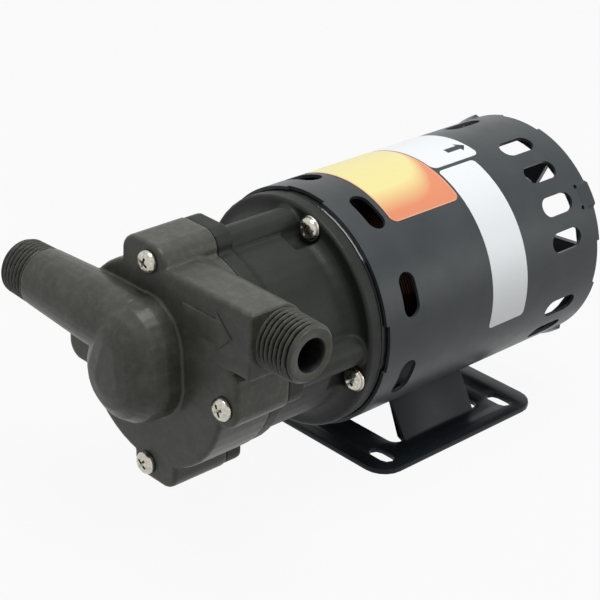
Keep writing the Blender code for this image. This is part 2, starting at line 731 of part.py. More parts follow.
def wet_end():
    """The spindle and what turns on it inside the can."""
    boss_y = CAN_CLOSED_Y - CAN_BOSS_LENGTH
    start = CHAMBER_Y - SEAT_DEPTH + GAP
    end = boss_y + CAN_BOSS_LENGTH * 0.8 - GAP
    turned("pump_spindle", disc(SPINDLE_RADIUS, 0, end - start), on_axis(start), CERAMIC, HIDDEN_STEPS)
    bore = SPINDLE_RADIUS + GAP
    washer = ring(bore, WASHER_RADIUS, 0, WASHER_THICKNESS)
    turned("front_thrust_washer", washer, on_axis(CHAMBER_Y + GAP), CERAMIC, HIDDEN_STEPS)
    rear_washer_y = boss_y - GAP - WASHER_THICKNESS
    turned("rear_thrust_washer", washer, on_axis(rear_washer_y), CERAMIC, HIDDEN_STEPS)
    bush_y = CHAMBER_Y + 2 * GAP + WASHER_THICKNESS
    bush_length = rear_washer_y - GAP - bush_y
    bush = ring(bore, bore + BUSH_WALL, 0, bush_length)
    turned("impeller_bush", bush, on_axis(bush_y), CARBON, HIDDEN_STEPS)
    hub_bore = bore + BUSH_WALL + GAP
    hub = hub_bore + IMPELLER_HUB_WALL
    impeller(hub_bore, hub, bush_y + GAP, bush_y + bush_length - GAP)
    magnet = ring(hub + GAP, INNER_MAGNET_RADIUS, 0, INNER_MAGNET_LENGTH)
    magnet_y = bush_y + bush_length - 2 * GAP - INNER_MAGNET_LENGTH
    turned("inner_magnet", magnet, on_axis(magnet_y), FERRITE, HIDDEN_STEPS)


def impeller(bore, hub, start, end):
    """Open impeller: a shroud with backswept vanes, and a hub that carries the magnet."""
    shroud_end = SEAM_Y - SHROUD_CLEARANCE
    shroud_start = shroud_end - SHROUD_THICKNESS
    profile = [
        (bore, start),
        (hub, start),
        (hub, shroud_start),
        (IMPELLER_RADIUS, shroud_start + SHROUD_THICKNESS / 3),
        (IMPELLER_RADIUS, shroud_end),
        (hub, shroud_end),
        (hub, end),
        (bore, end),
    ]
    body = turned("impeller", profile, on_axis(0), PALE_PLASTIC, HIDDEN_STEPS)
    front = CHAMBER_Y + SHROUD_CLEARANCE
    inner = hub - VANE_WALL / 2
    outer = IMPELLER_RADIUS - GAP
    for number in range(VANES):
        line = []
        for i in range(7):
            share = i / 6
            radius = inner + (outer - inner) * share
            turn = radians(360 * number / VANES - VANE_SWEEP * share)
            line.append((radius * cos(turn), radius * sin(turn)))
        vane = strip(line, VANE_WALL)
        name = f"impeller_vane_{number + 1}"
        end_y = shroud_start + SHROUD_THICKNESS / 2
        join(body, plate(name, [vane], front, end_y, on_axis(0), cutter=True))
    return body


def strip(line, thickness):
    """Outline of a sheet of even thickness along a centre line."""
    sides = []
    for i, point in enumerate(line):
        before = line[max(i - 1, 0)]
        after = line[min(i + 1, len(line) - 1)]
        across = Vector((before[1] - after[1], after[0] - before[0])).normalized()
        sides.append((Vector(point), across * thickness / 2))
    left = [tuple(point + offset) for point, offset in sides]
    right = [tuple(point - offset) for point, offset in sides]
    return left + right[::-1]


def screw(name, place, radius, head, length):
    """A pan-head screw: its head lies ahead of the place and its shank runs along +Y."""
    height = head * 0.6
    crown = arc(0, 0, head, -90, -35, 3)
    dome = [(x, y * height / head) for x, y in crown]
    profile = [*dome, (head, 0), (radius, 0), (radius, length - radius / 2)]
    profile += [(radius / 2, length), (0, length)]
    matrix = Matrix.Translation(place) @ Matrix.Rotation(-pi / 2, 4, "X")
    return turned(name, profile, matrix, BRIGHT_STEEL, 12)


def screws():
    length = CASING_DEPTH + EAR_THICKNESS + COVER_SCREW_ENGAGEMENT
    for number in range(4):
        place = polar(COVER_SCREW_CIRCLE, 90 - 90 * number, FACE_Y - GAP)
        name = f"cover_screw_{number + 1}"
        screw(name, place, COVER_SCREW_RADIUS, COVER_SCREW_HEAD, length)
        angle = ADAPTOR_SCREW_ANGLE - 90 * number
        place = polar(ADAPTOR_SCREW_CIRCLE, angle, FLANGE_Y - GAP)
        name = f"adaptor_screw_{number + 1}"
        screw(name, place, ADAPTOR_SCREW_RADIUS, ADAPTOR_SCREW_HEAD, ADAPTOR_SCREW_LENGTH)


def motor_adaptor():
    """Barrel between pump head and motor, with four ears, four ribs and a round flange."""
    bore = BARREL_RADIUS - BARREL_WALL
    ear = BODY_RADIUS - GAP
    ledge = CAN_FLANGE_RADIUS + GAP
    recess = CAN_FLANGE + GAP
    barrel = EAR_THICKNESS + BARREL_LENGTH
    flange = barrel + FLANGE_THICKNESS
    small = FLANGE_FILLET / 3
    profile = [
        (0, 0),
        (ear, 0),
        (ear, EAR_THICKNESS - small),
        (BARREL_RADIUS, EAR_THICKNESS + small),
        *arc(BARREL_RADIUS + FLANGE_FILLET, barrel - FLANGE_FILLET, FLANGE_FILLET, 180, 90, 4),
        (FLANGE_RADIUS - small / 2, barrel),
        (FLANGE_RADIUS, barrel + small / 2),
        (FLANGE_RADIUS, flange),
        (0, flange),
    ]
    body = turned("motor_adaptor", profile, on_axis(EAR_Y), BLACK_PLASTIC, FINE_STEPS)
    for turn in range(4):
        circles = quarter(turn, lug_circles(GAP))
        outline = hull(circles, steps=20)
        front = facing(EAR_Y)
        name = f"adaptor_ear_{turn + 1}"
        lug = plate(name, [outline], -EAR_THICKNESS, 0, front, cutter=True)
        rib = rod(
            f"adaptor_rib_{turn + 1}",
            polar(RIB_CIRCLE, 90 * turn, EAR_Y + EAR_THICKNESS / 2),
            polar(RIB_CIRCLE, 90 * turn, FLANGE_Y + FLANGE_THICKNESS / 2),
            RIB_RADIUS,
            steps=20,
        )
        join(body, lug, rib)
    stepped = [(0, -recess), (ledge, -recess), (ledge, recess), (bore, recess)]
    stepped += [(bore, flange + recess), (0, flange + recess)]
    cut(body, turned("adaptor_bore", stepped, on_axis(EAR_Y), None, MEDIUM_STEPS, True))
    for number in range(4):
        angle = ADAPTOR_SCREW_ANGLE - 90 * number
        radius = ADAPTOR_SCREW_HEAD + 3 * GAP
        start = polar(ADAPTOR_SCREW_CIRCLE, angle, FLANGE_Y - SCREW_POCKET_DEPTH)
        seat = polar(ADAPTOR_SCREW_CIRCLE, angle, FLANGE_Y)
        ahead = polar(ADAPTOR_SCREW_CIRCLE, angle, FLANGE_Y - GAP)
        past = polar(ADAPTOR_SCREW_CIRCLE, angle, FLANGE_BACK + GAP)
        cut(
            body,
            rod(f"screw_pocket_{number + 1}", start, seat, radius, steps=16),
            rod(f"adaptor_hole_{number + 1}", ahead, past, ADAPTOR_SCREW_RADIUS + GAP),
            rod(
                f"tapped_hole_{number + 1}",
                polar(COVER_SCREW_CIRCLE, 90 * number, EAR_Y - GAP),
                polar(
                    COVER_SCREW_CIRCLE,
                    90 * number,
                    EAR_Y + EAR_THICKNESS + COVER_SCREW_ENGAGEMENT + GAP,
                ),
                COVER_SCREW_RADIUS + GAP,
            ),
        )
    return body


def drive_magnet():
    """Steel cup with its magnet ring, clamped on the motor shaft by a set screw."""
    cup_inner = CUP_RADIUS - CUP_WALL
    web = CUP_WALL
    profile = [
        (FRONT_BORE, 0),
        (cup_inner, 0),
        (cup_inner, web - CUP_LENGTH),
        (CUP_RADIUS, web - CUP_LENGTH),
        (CUP_RADIUS, web / 2),
        (CUP_RADIUS - web / 2, web),
        (CUP_HUB_RADIUS, web),
        (CUP_HUB_RADIUS, web + CUP_HUB_LENGTH),
        (FRONT_BORE, web + CUP_HUB_LENGTH),
    ]
    place = on_axis(CUP_WEB_Y)
    cup = turned("drive_magnet_cup", profile, place, DARK_STEEL, HIDDEN_STEPS)
    magnet = ring(DRIVE_MAGNET_BORE, DRIVE_MAGNET_RADIUS, -GAP - DRIVE_MAGNET_LENGTH, -GAP)
    turned("drive_magnet_ring", magnet, place, FERRITE, HIDDEN_STEPS)
    hub_middle = CUP_WEB_Y + web + CUP_HUB_LENGTH / 2
    inner = polar(SHAFT_RADIUS, 90, hub_middle)
    outer = polar(CUP_HUB_RADIUS + GAP, 90, hub_middle)
    cut(cup, rod("set_screw_hole", inner, outer, SET_SCREW_RADIUS + GAP, steps=16))
    start = polar(FRONT_BORE, 90, hub_middle)
    end = polar(CUP_HUB_RADIUS - GAP, 90, hub_middle)
    rod("hub_set_screw", start, end, SET_SCREW_RADIUS, DARK_STEEL, 12, cutter=False)


def motor_shaft():
    start = CUP_WEB_Y + 2 * GAP
    seat_start = STACK_Y - END_TURN_LENGTH
    seat_end = STACK_END + END_TURN_LENGTH
    end = REAR_BELL_END + GAP
    chamfer = SHAFT_RADIUS / 8
    profile = [
        (0, start),
        (SHAFT_RADIUS - chamfer, start),
        (SHAFT_RADIUS, start + chamfer),
        (SHAFT_RADIUS, seat_start),
        (ROTOR_SEAT_RADIUS, seat_start),
        (ROTOR_SEAT_RADIUS, seat_end),
        (SHAFT_RADIUS, seat_end),
        (SHAFT_RADIUS, end - chamfer),
        (SHAFT_RADIUS - chamfer, end),
        (0, end),
    ]
    return turned("motor_shaft", profile, on_axis(0), BRIGHT_STEEL, HIDDEN_STEPS)


def rotor_core():
    """Laminated cage rotor with cast end rings."""
    bore = ROTOR_SEAT_RADIUS + GAP
    outer = STATOR_BORE - AIR_GAP
    end_ring = outer * 0.94
    profile = [
        (bore, 0),
        (outer, 0),
        (outer, STACK_LENGTH),
        (end_ring, STACK_LENGTH),
        (end_ring, STACK_LENGTH + END_RING_LENGTH),
        (end_ring * 0.6, STACK_LENGTH + END_RING_LENGTH),
        (end_ring * 0.6, STACK_LENGTH),
        (bore, STACK_LENGTH),
    ]
    front = [(end_ring * 0.6, 0), (end_ring * 0.6, -END_RING_LENGTH)]
    front += [(end_ring, -END_RING_LENGTH), (end_ring, 0)]
    points = [profile[0], *front, *profile[1:]]
    return turned("rotor_core", points, on_axis(STACK_Y), SILICON_STEEL, HIDDEN_STEPS)


def slot_outline(shrink):
    """One stator slot, along local +X: a narrow mouth that opens into a wide pocket."""
    inner, outer = STATOR_SLOT_INNER + shrink, STATOR_SLOT_OUTER - shrink
    mouth = STATOR_SLOT_MOUTH / 2
    narrow = STATOR_SLOT_WIDTH / 2 - shrink
    wide = narrow * 1.3
    pocket = [(inner + mouth, narrow), (outer - mouth, wide), (outer, wide - mouth)]
    pocket += [(x, -y) for x, y in pocket[::-1]]
    if shrink:
        return pocket
    start = STATOR_BORE - 2 * AIR_GAP
    return [(start, -mouth), (inner, -mouth), *pocket[::-1], (inner, mouth), (start, mouth)]


def spun(number, count, outline):
    """An outline turned about the axis to its place in a round pattern."""
    turn = 2 * pi * number / count
    c, s = cos(turn), sin(turn)
    return [(x * c - y * s, x * s + y * c) for x, y in outline]


def stator():
    """Slotted stack, and one winding whose end turns join bars through the slots."""
    core = turned(
        "stator_core",
        ring(STATOR_BORE, BELL_RADIUS, 0, STACK_LENGTH),
        on_axis(STACK_Y),
        SILICON_STEEL,
        FINE_STEPS,
    )
    slots = []
    for number in range(STATOR_SLOTS):
        outline = spun(number, STATOR_SLOTS, slot_outline(0))
        name = f"stator_slot_{number + 1}"
        start, end = -AIR_GAP, STACK_LENGTH + AIR_GAP
        slots.append(plate(name, [outline], start, end, on_axis(STACK_Y), cutter=True))
    cut(core, merged("stator_slots", slots))
    inner, outer = STATOR_SLOT_INNER + GAP, STATOR_SLOT_OUTER - GAP
    small = END_TURN_LENGTH / 4
    section = [
        (inner, 0),
        (inner, small - END_TURN_LENGTH),
        (inner + small, -END_TURN_LENGTH),
        (outer - small, -END_TURN_LENGTH),
        (outer + small / 2, small - END_TURN_LENGTH),
        (outer + small / 2, -small),
        (outer, 0),
    ]
    place = on_axis(STACK_Y - GAP)
    front = turned("stator_winding", section, place, ENAMELLED_COPPER, HIDDEN_STEPS)
    back = [(radius, -station) for radius, station in section]
    rear = turned("rear_end_turns", back, on_axis(STACK_END + GAP), None, HIDDEN_STEPS, True)
    bars = []
    for number in range(STATOR_SLOTS):
        outline = spun(number, STATOR_SLOTS, slot_outline(GAP))
        name = f"winding_bar_{number + 1}"
        start, end = -GAP - small, STACK_LENGTH + GAP + small
        bars.append(plate(name, [outline], start, end, on_axis(STACK_Y), cutter=True))
    join(front, merged("winding_bars", bars), rear)


def cooling_fan():
    """Pitched blades on a hub, running behind the rear vents."""
    hub = ring(FRONT_BORE, FAN_HUB_RADIUS, 0, FAN_HUB_LENGTH)
    fan = turned("cooling_fan", hub, on_axis(FAN_Y), CAST_ALUMINIUM, 24)
    middle = FAN_HUB_LENGTH / 2
    for number in range(FAN_BLADES):
        turn = Matrix.Rotation(2 * pi * number / FAN_BLADES, 4, "Z")
        pitch = Matrix.Rotation(radians(FAN_PITCH), 4, "X")
        place = on_axis(FAN_Y + middle) @ turn @ pitch
        root, tip = FAN_HUB_RADIUS - FAN_BLADE_WALL, FAN_RADIUS
        chord = FAN_BLADE_CHORD / 2
        outline = [(root, -chord * 0.6), (root, chord * 0.6)]
        corner = tip - chord * 0.5
        outline += [(corner, chord), *arc(corner, chord * 0.5, chord * 0.5, 90, 0, 3)[1:]]
        outline += [(tip, -chord * 0.5), (corner, -chord)]
        half = FAN_BLADE_WALL / 2
        blade = plate(f"fan_blade_{number + 1}", [outline], -half, half, place, cutter=True)
        join(fan, blade)
    bore = turned(
        "fan_bore",
        disc(FRONT_BORE, -FAN_HUB_LENGTH, 2 * FAN_HUB_LENGTH),
        on_axis(FAN_Y),
        None,
        24,
        True,
    )
    cut(fan, bore)
    return fan


def bell_profile(rim):
    """End bell from its outer face inwards: a plate with a rim and a bearing housing."""
    housing = BEARING_RADIUS + GAP + BEARING_HOUSING_WALL
    seat = BEARING_RADIUS + GAP
    draft = BEARING_HOUSING_WALL / 4
    return [
        (FRONT_BORE + GAP, 0),
        *rim,
        (housing + draft, BELL_PLATE),
        (housing, BELL_PLATE + BEARING_LENGTH),
        (seat, BELL_PLATE + BEARING_LENGTH),
        (seat, BELL_PLATE),
        (FRONT_BORE + GAP, BELL_PLATE),
    ]


def end_bells():
    depth = BELL_PLATE + BELL_LIP_DEPTH
    lip = BELL_RADIUS - BELL_LIP_WALL
    rim = [(BELL_RADIUS, 0), (BELL_RADIUS, depth), (lip, depth), (lip, BELL_PLATE)]
    front = turned("front_end_bell", bell_profile(rim), on_axis(BELL_Y), CAST_ALUMINIUM, FINE_STEPS)
    for number in range(4):
        angle = ADAPTOR_SCREW_ANGLE - 90 * number
        start = polar(ADAPTOR_SCREW_CIRCLE, angle, BELL_Y - BELL_PLATE)
        end = polar(ADAPTOR_SCREW_CIRCLE, angle, BELL_Y + depth)
        hole = rod(f"bell_hole_{number + 1}", start, end, ADAPTOR_SCREW_RADIUS + GAP)
        cut(front, hole)
    turned_back = Matrix.Rotation(pi, 4, "X")
    place = on_axis(REAR_BELL_END) @ turned_back
    step = REAR_BELL_INSET - RIM_NOTCH_DEPTH
    rim = [(lip, 0), (lip, -step), (BELL_RADIUS, -step), (BELL_RADIUS, BELL_PLATE)]
    rear = turned("rear_end_bell", bell_profile(rim), place, BLACK_PAINT, FINE_STEPS)
    inner = BEARING_RADIUS + GAP + 1.5 * BEARING_HOUSING_WALL
    outer = BELL_RADIUS - REAR_RIM
    windows = []
    for number in range(REAR_SPOKES):
        half = REAR_SPOKE_WIDTH / 2
        span = 180 / REAR_SPOKES
        low, high = degrees(asin(half / inner)), degrees(asin(half / outer))
        outline = arc(0, 0, outer, high - span, span - high, 6)
        outline += arc(0, 0, inner, span - low, low - span, 3)
        outline = spun(number, REAR_SPOKES, outline)
        name = f"rear_window_{number + 1}"
        start, end = -BELL_PLATE / 2, BELL_PLATE * 1.5
        spoked = place @ Matrix.Rotation(radians(REAR_WINDOW_TURN), 4, "Z")
        windows.append(plate(name, [outline], start, end, spoked, cutter=True))
    cut(rear, merged("rear_windows", windows))


def bearings():
    section = ring(SHAFT_RADIUS + GAP, BEARING_RADIUS, 0, BEARING_LENGTH - 2 * GAP)
    place = BELL_Y + BELL_PLATE + GAP
    turned("front_bearing", section, on_axis(place), SINTERED_BRONZE, HIDDEN_STEPS)
    turned("rear_bearing", section, on_axis(REAR_BEARING_Y + GAP), SINTERED_BRONZE, HIDDEN_STEPS)


def stadium(length, width, steps=4):
    """A slot outline along local X with round ends."""
    radius = width / 2
    reach = length / 2 - radius
    return arc(reach, 0, radius, -90, 90, steps) + arc(-reach, 0, radius, 90, 270, steps)


def radial(angle, y):
    """Local Z points out from the motor axis and local X along the motor axis."""
    out = Vector((cos(radians(angle)), 0, sin(radians(angle))))
    axis = Vector((0, 1, 0))
    side = out.cross(axis)
    turn = Matrix((axis, side, out)).transposed().to_4x4()
    return Matrix.Translation((0, y, AXIS_HEIGHT)) @ turn


def motor_shell():
    """Rolled steel tube with two rows of vents, notched rims and crimps over the bells."""
    shell = turned(
        "motor_shell",
        ring(SHELL_INNER, SHELL_RADIUS, 0, SHELL_LENGTH),
        on_axis(SHELL_Y),
        BLACK_PAINT,
        FINE_STEPS,
    )
    start, end = SHELL_RADIUS * 0.8, SHELL_RADIUS * 1.1
    for number in range(4):
        angle = radians(90 * number + CRIMP_ANGLE)
        turn = Matrix.Rotation(-angle, 4, "Z")
        place = on_axis(SHELL_END) @ turn
        low = (SHELL_INNER + SHELL_WALL / 4, -CRIMP_WIDTH / 2, -CRIMP_LENGTH)
        high = (SHELL_RADIUS + CRIMP_RISE, CRIMP_WIDTH / 2, 0)
        join(shell, block(f"crimp_{number + 1}", low, high, place))
    vents = []
    across = stadium(VENT_LENGTH, VENT_WIDTH)
    for number in range(FRONT_VENTS):
        angle = FRONT_VENT_FIRST + FRONT_VENT_PITCH * number
        place = radial(angle, SHELL_Y + FRONT_VENT_OFFSET) @ Matrix.Rotation(pi / 2, 4, "Z")
        name = f"front_vent_{number + 1}"
        vents.append(plate(name, [across], start, end, place, cutter=True))
    for group in range(4):
        for number in range(REAR_VENTS_IN_GROUP):
            angle = 90 * group + REAR_VENT_PITCH * (number + 1)
            place = radial(angle, SHELL_END - REAR_VENT_OFFSET)
            name = f"rear_vent_{group * REAR_VENTS_IN_GROUP + number + 1}"
            vents.append(plate(name, [across], start, end, place, cutter=True))
    lead = circle_outline(LEAD_HOLE_RADIUS, 16)
    place = radial(LEAD_ANGLE, SHELL_Y + LEAD_OFFSET)
    vents.append(plate("lead_hole", [lead], start, end, place, cutter=True))
    cut(shell, merged("shell_vents", vents))
    notches = []
    half = SHELL_RADIUS * sin(radians(RIM_NOTCH_ANGLE / 2))
    for number in range(4):
        for side, y in ((1, SHELL_Y), (-1, SHELL_END)):
            low = (-RIM_NOTCH_DEPTH, -half, start)
            high = (RIM_NOTCH_DEPTH, half, end)
            name = f"rim_notch_{number + 1}_{side}"
            notches.append(block(name, low, high, radial(90 * number, y)))
    cut(shell, merged("rim_notches", notches))
    return shell


def circle_outline(radius, steps):
    return arc(0, 0, radius, 0, 360, steps)[:-1]


def lead_grommet():
    """Rubber grommet where the motor's leads come out, on the far side."""
    neck = LEAD_HOLE_RADIUS - GAP
    outside = SHELL_RADIUS + GAP
    inside = sqrt(SHELL_INNER**2 - GROMMET_FLANGE**2) - GAP
    profile = [
        (LEAD_BORE_RADIUS, inside - GROMMET_LIP),
        (GROMMET_FLANGE, inside - GROMMET_LIP),
        (GROMMET_FLANGE, inside),
        (neck, inside),
        (neck, outside),
        (GROMMET_FLANGE, outside),
        (GROMMET_FLANGE - GROMMET_LIP / 2, outside + GROMMET_LIP),
        (LEAD_BORE_RADIUS, outside + GROMMET_LIP),
    ]
    return turned("lead_grommet", profile, radial(LEAD_ANGLE, SHELL_Y + LEAD_OFFSET), RUBBER, 20)


def rounded_rectangle(left, front, right, back, radius, steps=5):
    """Outline of a rectangle with round corners."""
    return (
        arc(right - radius, front + radius, radius, -90, 0, steps)
        + arc(right - radius, back - radius, radius, 0, 90, steps)
        + arc(left + radius, back - radius, radius, 90, 180, steps)
        + arc(left + radius, front + radius, radius, 180, 270, steps)
    )


def base_bracket():
    """Pressed plate with four slots; two wings bent out of its window cradle the shell."""
    half = BASE_WIDTH / 2
    window = WINDOW_WIDTH / 2
    outlines = [
        rounded_rectangle(-half, -BASE_FRONT, half, BASE_LENGTH - BASE_FRONT, BASE_CORNER),
        rounded_rectangle(
            -window, WINDOW_FRONT, window, WINDOW_FRONT + WINDOW_LENGTH, WINDOW_CORNER
        ),
    ]
    for x in (-SLOT_SPACING_X / 2, SLOT_SPACING_X / 2):
        for y in (0, SLOT_SPACING_Y):
            outlines.append([(x + a, y + b) for a, b in stadium(SLOT_LENGTH, SLOT_WIDTH)])
    base = plate("base_bracket", outlines, 0, SHEET, Matrix.Identity(4), BLACK_PAINT)
    for side in (1, -1):
        line = [(side * x, z) for x, z in wing_line()]
        outline = strip(line, SHEET)
        # Local X is +X, local Y is up and local Z runs along -Y.
        place = Matrix.Translation((0, WING_FRONT, 0)) @ Matrix.Rotation(pi / 2, 4, "X")
        name = "wing_right" if side > 0 else "wing_left"
        join(base, plate(name, [outline], -WING_LENGTH, 0, place, cutter=True))
    return base


def wing_line():
    """Centre line of the right wing: out of the plate, up and inwards, then round the shell."""
    around = SHELL_RADIUS + GAP + SHEET / 2
    window = WINDOW_WIDTH / 2
    foot = (window + SHEET / 4, SHEET / 2)
    saddle = []
    for i in range(5):
        share = i / 4
        turn = radians(-90 + WING_SADDLE_FROM + (WING_SADDLE_TO - WING_SADDLE_FROM) * share)
        saddle.append((around * cos(turn), AXIS_HEIGHT + around * sin(turn)))
    head = saddle[0]
    lean = Vector((foot[0] - head[0], foot[1] - head[1])).normalized()
    outward = Vector((1, 0))
    start = Vector((foot[0], foot[1]))
    points = [tuple(start + outward * WING_BEND)]
    # The foot turns up through an arc made from its two tangent points.
    first, last = start + outward * WING_BEND / 2, start - lean * WING_BEND / 2
    for share in (0, 0.25, 0.5, 0.75, 1):
        one = first.lerp(start, share)
        two = start.lerp(last, share)
        points.append(tuple(one.lerp(two, share)))
    top = Vector(head) + lean * WING_BEND / 2
    inner = Vector(saddle[1])
    for share in (0, 0.33, 0.67, 1):
        one = top.lerp(Vector(head), share)
        two = Vector(head).lerp(inner, share)
        points.append(tuple(one.lerp(two, share)))
    return points + saddle[2:]


def main():
    front_casing()
    casing_o_ring()
    rear_housing()
    wet_end()
    motor_adaptor()
    screws()
    drive_magnet()
    end_bells()
    bearings()
    motor_shaft()
    rotor_core()
    stator()
    cooling_fan()
    motor_shell()
    lead_grommet()
    base_bracket()


main()
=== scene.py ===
"""Looks of the inline magnetic-drive pump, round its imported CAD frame, in metres.

+Z is up, +X runs from the inlet to the outlet and +Y from the pump head to the rear of the
motor. The motor axis lies along Y at x = 0 and z = AXIS_HEIGHT.
"""

from math import cos, hypot, pi, radians, sin

import bmesh
import bpy
from mathutils import Matrix, Vector

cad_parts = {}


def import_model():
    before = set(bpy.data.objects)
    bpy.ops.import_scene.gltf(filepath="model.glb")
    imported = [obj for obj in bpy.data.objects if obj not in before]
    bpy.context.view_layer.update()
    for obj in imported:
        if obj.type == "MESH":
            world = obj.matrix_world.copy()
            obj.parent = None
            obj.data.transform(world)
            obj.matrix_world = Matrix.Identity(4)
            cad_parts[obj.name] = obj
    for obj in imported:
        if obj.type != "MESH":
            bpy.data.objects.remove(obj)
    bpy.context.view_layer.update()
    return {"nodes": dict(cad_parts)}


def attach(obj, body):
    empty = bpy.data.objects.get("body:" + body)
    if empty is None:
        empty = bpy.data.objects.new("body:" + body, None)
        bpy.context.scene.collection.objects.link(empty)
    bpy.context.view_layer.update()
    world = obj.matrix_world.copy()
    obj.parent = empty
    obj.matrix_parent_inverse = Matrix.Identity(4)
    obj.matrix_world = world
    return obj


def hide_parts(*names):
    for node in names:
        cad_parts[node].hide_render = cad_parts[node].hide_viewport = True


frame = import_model()

MM = 0.001
AXIS_HEIGHT = 56.8 * MM
SHELL_RADIUS = 42.0 * MM
SHELL_WALL = 1.2 * MM
SHELL_FRONT = -19.85 * MM
SHELL_REAR = 89.65 * MM
FACE_Y = -85.35 * MM  # front face of the casing's body
FLANGE_Y = -26.35 * MM  # front face of the adaptor's flange
HEAD_GAP = 0.3 * MM  # from a face to the underside of the screw heads on it
WELD = 0.002 * MM  # points nearer than this are one

# Camera, solved from the photograph
CAMERA_AZIMUTH = 45.47
CAMERA_ELEVATION = 26.57
CAMERA_ROLL = 2.72
CAMERA_DISTANCE = 677.98 * MM
CAMERA_TARGET = Vector((-33.63, 13.65, 35.37)) * MM
CAMERA_LENS = 110.75


def place_camera():
    azimuth, elevation = radians(CAMERA_AZIMUTH), radians(CAMERA_ELEVATION)
    roll = radians(CAMERA_ROLL)
    back = Vector(
        (sin(azimuth) * cos(elevation), -cos(azimuth) * cos(elevation), sin(elevation))
    )
    level = Vector((cos(azimuth), sin(azimuth), 0))
    over = back.cross(level)
    right = level * cos(roll) + over * sin(roll)
    up = over * cos(roll) - level * sin(roll)
    data = bpy.data.cameras.new("camera")
    data.lens = CAMERA_LENS
    data.sensor_width = 36
    data.clip_start = 0.01
    camera = bpy.data.objects.new("camera", data)
    turn = Matrix((right, up, back)).transposed().to_4x4()
    camera.matrix_world = Matrix.Translation(CAMERA_TARGET + back * CAMERA_DISTANCE) @ turn
    bpy.context.scene.collection.objects.link(camera)
    bpy.context.scene.camera = camera


# Materials


def linear(code):
    """Linear RGBA of an sRGB hex colour."""
    parts = [int(code[i : i + 2], 16) / 255 for i in (1, 3, 5)]
    values = [p / 12.92 if p <= 0.04045 else ((p + 0.055) / 1.055) ** 2.4 for p in parts]
    return (*values, 1.0)


def add(tree, kind, inputs=None, **settings):
    """Adds a node; an input is a value, or another node's output, which is linked."""
    made = tree.nodes.new("ShaderNode" + kind)
    for name, value in settings.items():
        setattr(made, name, value)
    for socket, value in (inputs or {}).items():
        if isinstance(value, bpy.types.NodeSocket):
            tree.links.new(value, made.inputs[socket])
        else:
            made.inputs[socket].default_value = value
    return made


def surface(name):
    """A new material's node tree and its Principled shader."""
    made = bpy.data.materials.new(name)
    made.use_nodes = True
    tree = made.node_tree
    return made, tree, tree.nodes["Principled BSDF"]


def grain(tree, size, detail=2.0, roughness=0.5, source="Object"):
    """Noise whose features are about one size across, from 0 to 1."""
    coordinates = add(tree, "TexCoord").outputs[source]
    inputs = {"Vector": coordinates, "Scale": 1 / size, "Detail": detail, "Roughness": roughness}
    return add(tree, "TexNoise", inputs).outputs[0]


def spread(tree, value, low, high, dark, light):
    """Colours or levels from dark to light as the value goes from low to high."""
    inputs = {"Value": value, "From Min": low, "From Max": high}
    share = add(tree, "MapRange", inputs).outputs[0]
    if isinstance(dark, float):
        inputs = {"Value": share, "To Min": dark, "To Max": light}
        return add(tree, "MapRange", inputs).outputs[0]
    mix = add(tree, "Mix", {0: share, 6: linear(dark), 7: linear(light)}, data_type="RGBA")
    return mix.outputs[2]


def relief(tree, shader, height, depth, strength=1.0):
    bump = add(tree, "Bump", {"Height": height, "Distance": depth, "Strength": strength})
    tree.links.new(bump.outputs[0], shader.inputs["Normal"])


def glass_filled_polypropylene():
    """Polypropylene with 30% glass fibre, moulded in an etched tool: dull, olive black."""
    made, tree, shader = surface("glass_filled_polypropylene")
    # Fibres come near the skin in pale drifts about 6 mm long.
    drift = grain(tree, 6 * MM, 5.0, 0.65)
    base = spread(tree, drift, 0.34, 0.68, "#3e3f39", "#4c4d46")
    # Handling polishes the high spots of the texture to a paler grey, about 3 mm across.
    scuff = spread(tree, grain(tree, 3 * MM, 5.0, 0.7), 0.5, 0.72, 0.0, 0.25)
    mix = add(tree, "Mix", {0: scuff, 6: base, 7: linear("#6c6e66")}, data_type="RGBA")
    tree.links.new(mix.outputs[2], shader.inputs["Base Color"])
    # The etched skin has a 0.1 mm texture, drawn at 0.5 mm so that it shows.
    skin = grain(tree, 0.5 * MM, 2.0, 0.6)
    tree.links.new(spread(tree, skin, 0.3, 0.7, 0.32, 0.46), shader.inputs["Roughness"])
    relief(tree, shader, skin, 0.06 * MM, 0.6)
    shader.inputs["IOR"].default_value = 1.49
    shader.inputs["Specular IOR Level"].default_value = 0.32
    return made


def polypropylene_painted_shade():
    """The same plastic inside the ports and the thread roots, drawn near black as painted shade.
    """
    made, tree, shader = surface("polypropylene_painted_shade")
    shade_noise = grain(tree, 1.5 * MM, 3.0)
    # Near-black tones, mottled over 1.5 mm, as painted shade in the bore and the thread roots.
    base = spread(tree, shade_noise, 0.3, 0.7, "#0c0e0d", "#1a1c1a")
    tree.links.new(base, shader.inputs["Base Color"])
    tree.links.new(spread(tree, shade_noise, 0.3, 0.7, 0.45, 0.65), shader.inputs["Roughness"])
    shader.inputs["IOR"].default_value = 1.49
    shader.inputs["Specular IOR Level"].default_value = 0.25
    return made


def black_nylon():
    """Nylon 6 with a fine spark-eroded skin: black with a soft sheen."""
    made, tree, shader = surface("black_nylon")
    tone = grain(tree, 9 * MM, 3.0, 0.55)
    base = spread(tree, tone, 0.3, 0.7, "#181b18", "#212420")
    tree.links.new(base, shader.inputs["Base Color"])
    skin = grain(tree, 0.4 * MM, 1.0)
    tree.links.new(spread(tree, skin, 0.3, 0.7, 0.44, 0.58), shader.inputs["Roughness"])
    relief(tree, shader, skin, 0.03 * MM, 0.5)
    shader.inputs["IOR"].default_value = 1.53
    shader.inputs["Specular IOR Level"].default_value = 0.25
    return made


